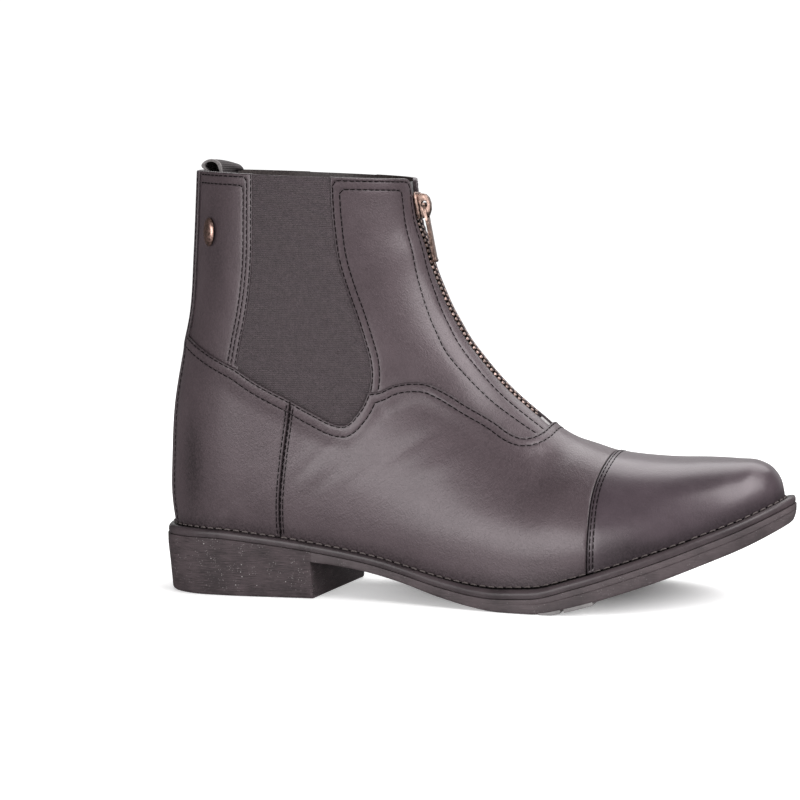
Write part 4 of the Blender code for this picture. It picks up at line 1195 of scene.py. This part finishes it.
# Front zip: a row of metal teeth on each tape, meshed from the slider down to the stop
def centre_line():
    """Points down the middle of the zip from the collar, and the directions out of the boot there."""
    column = np.arange(RINGS)[::-1] * 2 * HALF_RING + HALF_RING
    points = LAST[column]
    way = run_up(np.linalg.norm(np.diff(points, axis=0), axis=1))
    return points, unit(OUT[column] * [1, 0, 1]), way


ZIP_POINTS, ZIP_OUT, ZIP_WAY = centre_line()


def zip_at(way):
    """A place on the zip's middle line, the direction out of the boot there, and the one up the zip."""
    out = unit(value_at(way, ZIP_WAY, ZIP_OUT))
    return value_at(way, ZIP_WAY, ZIP_POINTS), out, np.array([-out[2], 0, out[0]])


def tooth_form():
    """One tooth, a rounded jaw round the tape's bead with a head that meshes at the middle."""
    bpy.ops.mesh.primitive_cube_add(size=1)
    tooth = bpy.context.object
    bpy.ops.object.mode_set(mode="EDIT")
    made = bmesh.from_edit_mesh(tooth.data)
    for face in made.faces:
        face.select_set(face.normal.x > 0.9)
    bmesh.update_edit_mesh(tooth.data)
    bpy.ops.mesh.extrude_region_move(TRANSFORM_OT_translate={"value": (0.42, 0, 0)})
    bpy.ops.transform.resize(value=(1, 0.72, 0.62))
    bpy.ops.mesh.select_all(action="SELECT")
    bpy.ops.mesh.bevel(offset=0.14, segments=2)
    bpy.ops.mesh.normals_make_consistent(inside=False)
    bpy.ops.object.mode_set(mode="OBJECT")
    points = np.array([vertex.co[:] for vertex in tooth.data.vertices])
    faces = [tuple(face.vertices) for face in tooth.data.polygons]
    bpy.data.objects.remove(tooth, do_unlink=True)
    return points, faces


slider_way = float(np.interp(-SLIDER_AT * BOOT_HEIGHT, -ZIP_POINTS[:, 2], ZIP_WAY))
foot_way = float(np.interp(along(ZIP_FOOT), ZIP_POINTS[:, 0], ZIP_WAY))
form, faces = tooth_form()
form[:, 0] -= 0.4
places = []
across, upward, outward = TOOTH_SIZE
count = int((foot_way - slider_way - TOOTHLESS) / (TOOTH_PITCH / 2))
for k in range(count):
    side = (-1, 1)[k % 2]
    point, out, up = zip_at(slider_way + FIRST_TOOTH + k * TOOTH_PITCH / 2)
    place = point + out * (TOOTH_RISE - LEATHER) + np.array([0, side * TOOTH_SIDE, 0])
    places.append((place, np.array([0, -side * across, 0]), up * upward, out * outward))
teeth = many("zip_teeth", form, faces, places, TEETH_BRONZE, smooth=40)
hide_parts("zip_chain")


def pick(piece):
    """Makes one piece the only selected and the active one."""
    bpy.ops.object.select_all(action="DESELECT")
    bpy.context.view_layer.objects.active = piece
    piece.select_set(True)


def refined(name, node, finish, width, segments=2, body="boot", slim=1.0):
    """A CAD piece with its edges eased, drawn in across by a share where slim is below 1."""
    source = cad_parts[node]
    piece = source.copy()
    piece.data = source.data.copy()
    piece.name = name
    piece.animation_data_clear()
    bpy.context.scene.collection.objects.link(piece)
    for held in list(piece.users_collection):
        if held != bpy.context.scene.collection:
            held.objects.unlink(piece)
    piece.parent = None
    piece.matrix_world = Matrix.Identity(4)
    piece.data.transform(Matrix.Diagonal((1, slim, 1, 1)) @ source.matrix_world)
    piece.hide_render = False
    made = bmesh.new()
    made.from_mesh(piece.data)
    bmesh.ops.remove_doubles(made, verts=made.verts, dist=2e-6)
    bmesh.ops.dissolve_limit(made, angle_limit=math.radians(2), verts=made.verts, edges=made.edges)
    made.to_mesh(piece.data)
    made.free()
    pick(piece)
    ease_edges = piece.modifiers.new("eased", "BEVEL")
    ease_edges.width = width
    ease_edges.segments = segments
    ease_edges.limit_method = "ANGLE"
    ease_edges.angle_limit = math.radians(35)
    ease_edges.use_clamp_overlap = True
    bpy.ops.object.modifier_apply(modifier="eased")
    piece.data.materials.clear()
    piece.data.materials.append(finish)
    shade(piece, 35)
    piece.select_set(False)
    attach(piece, body)
    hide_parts(node)


GREY_TAPE = cloth("grey_tape", (0.42, 0.40, 0.40), 0.5, 0.10, light=1.2)
refined("slider_body", "zip_slider", ZIP_BRONZE, 0.00022)
refined("pull_tab", "zip_pull", ZIP_BRONZE, 0.00016, body="zip_pull", slim=0.82)
refined("oval_stud", "side_stud", BRONZE, 0.0001)
refined("foot_stop", "zip_stop", GREY_TAPE, 0.0003, 3)


# Sole, welt and heel, as loops of the sole's outline at rising heights
def ladder(count):
    """Faces that close a loop of 2 * count points straight across."""
    last = 2 * count
    faces = [(0, 1, last - 1), (count - 1, count, count + 1)]
    faces += [(j, j + 1, last - j - 1, last - j) for j in range(1, count - 1)]
    return faces


def sole_piece(name, low, high, levels, finish, ring=False):
    """A solid from loops of the sole's outline. A level has its inset, then its height as a share of the
    way from low to high, and a rise over that."""
    points = []
    edge = outline(0.0)
    inward = (outline(MM) - edge) / MM
    for inset, share, rise in levels:
        by = inset(edge[:, 0]) if callable(inset) else inset
        loop = edge + inward * np.reshape(by, (-1, 1))
        start = low(loop[:, 0])
        points.append(np.column_stack([loop, start + share * (high(loop[:, 0]) - start) + rise]))
    size = 2 * STATIONS
    faces = loop_faces(len(levels), size, ring)
    if not ring:
        faces += ladder(STATIONS)
        faces += [tuple(i + (len(levels) - 1) * size for i in face) for face in ladder(STATIONS)]
    return turn_out(new_piece(name, np.vstack(points), faces, [finish]), 40)


def ahead_of_heel(inset):
    """An inset that is there only in front of the heel's breast."""
    return lambda x: inset * ease((x - along(BREAST) - 0.001) / 0.004)


def forepart(inset):
    """An inset that comes in towards the toe."""
    return lambda x: inset * ease((x - along(0.55)) / 0.05)


def sole_edge(heel_on, toe_on):
    """An inset that is there ahead of the heel, with more round the tip of the toe."""
    on = ahead_of_heel(heel_on)
    return lambda x: on(x) + toe_on * ease((x - along(0.86)) / 0.040)


levels = [(sole_edge(0.0022, 0.0040), 0, 0)]
for turn in np.radians((20, 45, 70, 90)):
    inset = sole_edge(0.0012 * (1 - math.sin(turn)), 0.0012 + 0.0026 * (1 - math.sin(turn)))
    levels.append((inset, 0, 0.0012 * (1 - math.cos(turn))))
levels += [(sole_edge(0.0, 0.0005), 0.35, 0), (0.0, 0.66, -0.00022), (forepart(0.00028), 0.66, 0)]
levels += [(0.0, 0.66, 0.00022), (0.0, 1, -0.0004), (0.0001, 1, -0.00012), (0.0004, 1, -0.00002)]
levels += [(WELT_INSIDE + GAP, 1, 0), (WELT_INSIDE + 2 * GAP, 1, WELT_DEPTH - GAP / 2)]
outsole = sole_piece("outsole_rubber", underside, sole_top, levels, SOLE_RUBBER)
outsole.data.materials.append(HEEL_RUBBER)
lean = math.tan(math.radians(BREAST_TURN))
for face in outsole.data.polygons:
    face.material_index = int(face.center.x - face.center.y * lean < along(BREAST))

levels = [(0.0009, 0, 0.00006), (0.00055, 0, 0.00030), (0.0004, 0.30, 0)]
for turn in np.radians((0, 15, 30, 45, 60, 75, 88)):
    levels.append((0.0004 + 0.0024 * (1 - math.cos(turn)), 0.45 + 0.48 * math.sin(turn), 0))
levels += [(0.0034, 1, -0.00034), (WELT_INSIDE, 1, -0.00015), (WELT_INSIDE, 0, 0.00006)]
welt = sole_piece("welt_band", sole_top, seat, levels, WELT_RUBBER, ring=True)
# The inner levels of the welt, beside the upper, take painted shade
note(welt, "feather", np.repeat([0.0] * 8 + [0.15, 0.9, 1.0, 1.0, 1.0], 2 * STATIONS))

levels = [(0.0034, 0, 0), (0.0026, 0, 0.00012), (0.0019, 0, 0.0006), (0.0015, 0, 0.0014)]
levels += [(0.0008, 0.55, 0), (0.0, 1, -0.00002)]
heel = sole_piece("heel_stack", np.zeros_like, underside, levels, HEEL_RUBBER)
pick(heel)
bpy.ops.object.mode_set(mode="EDIT")
bpy.ops.mesh.select_all(action="SELECT")
turn = math.radians(BREAST_TURN)
bpy.ops.mesh.bisect(
    plane_co=(float(along(BREAST)), 0, 0),
    plane_no=(math.cos(turn), -math.sin(turn), 0),
    use_fill=True,
    clear_outer=True,
)
bpy.ops.mesh.bevel(offset=0.0006, segments=2)
bpy.ops.object.mode_set(mode="OBJECT")
turn_out(heel, 35)
heel.select_set(False)

for piece, node, slot in (
    (outsole, "outsole", "sole_rubber"),
    (welt, "welt", "welt_rubber"),
    (heel, "heel_block", "sole_rubber"),
):
    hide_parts(node)
for where in ("rear", "front"):
    refined("grey_insert_" + where, "tread_insert_" + where, GREY_RUBBER, 0.0004)

# Stitches in the feather line, between the welt and the upper
welt_places = []
for line in FEATHER:
    up = np.tile([0.0, 0.0, 1.0], (len(line), 1))
    run_stitches(line, up, WELT_PITCH, WELT_STITCH, WELT_LIFT, WELT_THREAD, welt_places)
many("welt_stitches", *stitch_form(), welt_places, LIGHT_THREAD)


def room_line(side, height):
    """Half widths inside the leather at a height over the seat, along the boot."""
    columns = np.arange(HALF_RING + 1) * -side
    inside = (LAST - OUT * (LEATHER + GAP)).reshape(grid.shape)[:, columns]
    over = inside[:, :, 2] - seat(inside[:, :, 0]) - height
    found = []
    for i in range(RINGS):
        for j in range(HALF_RING):
            if over[i, j] * over[i, j + 1] < 0:
                share = over[i, j] / (over[i, j] - over[i, j + 1])
                found.append(inside[i, j] + (inside[i, j + 1] - inside[i, j]) * share)
    found = np.array(found)
    return found[np.argsort(found[:, 0])]


# Insole, a thin board dished a little under the heel
outer_room = room_line(-1, GAP)
inner_room = room_line(1, GAP)
start = max(outer_room[0, 0], inner_room[0, 0])
end = min(outer_room[-1, 0], inner_room[-1, 0])
turns = np.linspace(0, math.pi, 71)[1:-1]
points = []
for x in start + (end - start) * (1 - np.cos(turns)) / 2:
    low = -np.interp(x, outer_room[:, 0], -outer_room[:, 1]) + INSOLE_PLAY
    high = np.interp(x, inner_room[:, 0], inner_room[:, 1]) - INSOLE_PLAY
    for share in np.linspace(0, 1, ACROSS):
        y = low + (high - low) * share
        round_off = INSOLE_ROUND * (abs(2 * share - 1) > 0.97)
        dish = INSOLE_DISH * math.sin(math.pi * share)
        points.append((x, y, float(seat(x)) + GAP + INSOLE - dish - round_off))
top_count = len(points)
points += [(x, y, float(seat(x)) + GAP) for x, y, z in points]
faces = []
rows = len(turns)
for i in range(rows - 1):
    for j in range(ACROSS - 1):
        a = ACROSS * i + j
        corners = (a, a + 1, a + ACROSS + 1, a + ACROSS)
        faces.append(corners)
        faces.append(tuple(k + top_count for k in (a, *corners[:0:-1])))
rim = list(range(ACROSS)) + [ACROSS * i + ACROSS - 1 for i in range(1, rows)]
rim += [ACROSS * (rows - 1) + j for j in range(ACROSS - 2, -1, -1)]
rim += [ACROSS * i for i in range(rows - 2, 0, -1)]
faces += [(a, b, b + top_count, a + top_count) for a, b in zip(rim, rim[1:] + rim[:1])]
INSOLE_LEATHER = leather("insole_leather", (0.115, 0.085, 0.062), gloss=0.6, creases=0.2)
insole = turn_out(new_piece("insole_board", points, faces, [INSOLE_LEATHER]), 50)
for name, value in dict(row=AWAY, edge=AWAY, creased=0.1, foot=AWAY, painted_light=0.0).items():
    note(insole, name, [value] * len(points))
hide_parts("insole")

# Pull loop, a folded strap with a piped edge on each side
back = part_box("pull_loop")[0].x
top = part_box("pull_loop")[1].z
bend = LOOP_DEPTH / 2 - LOOP_THICK / 2
path = [(back + LOOP_THICK / 2, top - 0.030 + k * 0.002) for k in range(13)]
path += [
    (back + LOOP_DEPTH / 2 + bend * math.cos(a), top - LOOP_DEPTH / 2 + bend * math.sin(a))
    for a in np.radians(np.linspace(180, 0, 15))
]
path += [(back + LOOP_DEPTH - LOOP_THICK / 2, top - LOOP_DEPTH / 2 - k * 0.002) for k in range(1, 10)]
path = np.array(path)
run = unit(np.gradient(path, axis=0))
side = np.column_stack([-run[:, 1], run[:, 0]])
section = []
for y in np.linspace(-1, 1, 23):
    edge = 1 - abs(y)
    piping = 0.5 + 0.22 * math.exp(-((edge / 0.09) ** 2))
    section.append((y * LOOP_WIDTH / 2, piping * min(1, 0.55 + edge * 12)))
section = [(y, h) for y, h in section] + [(y, -h) for y, h in section[::-1]]
points = []
for (x, z), (sx, sz) in zip(path, side):
    for y, h in section:
        lift = float(ease((z - top + LOOP_RISE + 0.0012) / 0.003))
        cross = y / LOOP_WIDTH
        ahead = x + sx * h * LOOP_THICK
        ahead += lift * (0.35 * (ahead - back - LOOP_DEPTH / 2) + 0.0034 * cross)
        points.append((ahead, y, z + sz * h * LOOP_THICK - lift * 0.0024 * (cross + 0.5) ** 2))
size = len(section)
faces = loop_faces(len(path), size)
faces += [tuple(range(size)), tuple((len(path) - 1) * size + j for j in range(size))]
# The outermost faces of each edge take the piping's light grey, partly a painted highlight
piped = [int(j % size in (0, 21, 22, 23, 44, 45)) for j in range((len(path) - 1) * size)]
strap = turn_out(new_piece("pull_strap", points, faces, [STRAP_CLOTH, PIPING_AND_HIGHLIGHT], piped + [0, 0]), 60)
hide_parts("pull_loop")

# Floor, lights and camera
bpy.ops.mesh.primitive_plane_add(size=1.8, location=(0.25, 0.3, 0))
floor = bpy.context.object
floor.name = "studio_floor"
# The floor glows, a painted light that keeps it white, and the glow drops to a tenth in an oval under the
# ball of the foot: a painted shadow
paper = Finish("studio_paper", (0.92, 0.92, 0.92), 0.0, 0.9, Emission_Strength=0.45)
placed = {"Vector": paper.spot, "Location": (0.115, 0.336, 0), "Scale": (1, 1.2, 1)}
painted_shadow_oval = paper.add("ShaderNodeMapping", {}, placed)
away = paper.add("ShaderNodeVectorMath", {"operation": "LENGTH"}, {0: painted_shadow_oval}, "Value")
glow_and_painted_shadow = paper.mix(paper.step(away, 0.03, 0.10), (0.1,) * 3, (1,) * 3)
paper.put(paper.shader.inputs["Emission Color"], glow_and_painted_shadow)
floor.data.materials.append(paper.material)
floor.visible_glossy = False


def lamp(name, place, target, size, power):
    """A soft box that the camera doesn't see."""
    light = bpy.data.lights.new(name, "AREA")
    light.shape = "RECTANGLE"
    light.size, light.size_y = size
    light.energy = power
    rig = bpy.data.objects.new(name, light)
    bpy.context.scene.collection.objects.link(rig)
    rig.matrix_world = look(place, target)
    rig.visible_camera = False


def look(place, target, roll=0.0):
    """A placement whose -Z looks at the target, with its X level before the roll."""
    place = np.array(place, float)
    ahead = unit(np.array(target, float) - place)
    across = unit(np.cross(ahead, [0, 0, 1]))
    up = np.cross(across, ahead)
    a = math.radians(roll)
    x = math.cos(a) * across - math.sin(a) * up
    y = math.sin(a) * across + math.cos(a) * up
    rows = np.column_stack([x, y, -ahead, place]).tolist()
    return Matrix(rows + [[0, 0, 0, 1]])


lamp("soft_back", (0.15, 0.85, 1.15), (0.12, 0.0, 0.0), (1.9, 0.9), 18)
lamp("soft_wall", (0.15, 1.90, 0.52), (0.15, 0.0, 0.30), (3.2, 1.0), 5)
lamp("soft_right", (1.05, -0.38, 0.86), (0.12, 0.0, 0.06), (0.9, 0.98), 19)
lamp("soft_low", (-0.34, -1.35, 0.28), (0.12, 0.0, 0.08), (1.20, 0.58), 14.4)

world = bpy.data.worlds.new("studio")
world.use_nodes = True
air = world.node_tree
soft = air.nodes["Background"]
white = air.nodes.new("ShaderNodeBackground")
for node, colour, strength in ((soft, (1.0, 0.96, 0.97, 1), 0.14), (white, (1.0, 1.0, 1.0, 1), 1.1)):
    node.inputs["Color"].default_value = colour
    node.inputs["Strength"].default_value = strength
seen = air.nodes.new("ShaderNodeLightPath")
either = air.nodes.new("ShaderNodeMixShader")
air.links.new(seen.outputs["Is Camera Ray"], either.inputs[0])
air.links.new(soft.outputs[0], either.inputs[1])
air.links.new(white.outputs[0], either.inputs[2])
air.links.new(either.outputs[0], air.nodes["World Output"].inputs["Surface"])
bpy.context.scene.world = world

# The camera: its focal length in widths of the picture, its place, and its turn, dip and roll in degrees
PICTURE_WIDTHS = 2400.05 / 800
EYE = np.array([0.410450, -1.061400, 0.203777])
EYE_TURN = 17.578
EYE_DIP = 5.864261
EYE_ROLL = 1.499748
camera_data = bpy.data.cameras.new("camera")
camera_data.sensor_width = 36
camera_data.lens = PICTURE_WIDTHS * camera_data.sensor_width
camera_data.clip_start = 0.01
camera = bpy.data.objects.new("camera", camera_data)
bpy.context.scene.collection.objects.link(camera)
aim = math.radians(EYE_TURN)
dip = math.radians(EYE_DIP)
ahead = np.array([-math.sin(aim) * math.cos(dip), math.cos(aim) * math.cos(dip), -math.sin(dip)])
camera.matrix_world = look(EYE, EYE + ahead, EYE_ROLL)
bpy.context.scene.camera = camera
bpy.context.scene.view_settings.view_transform = "Standard"
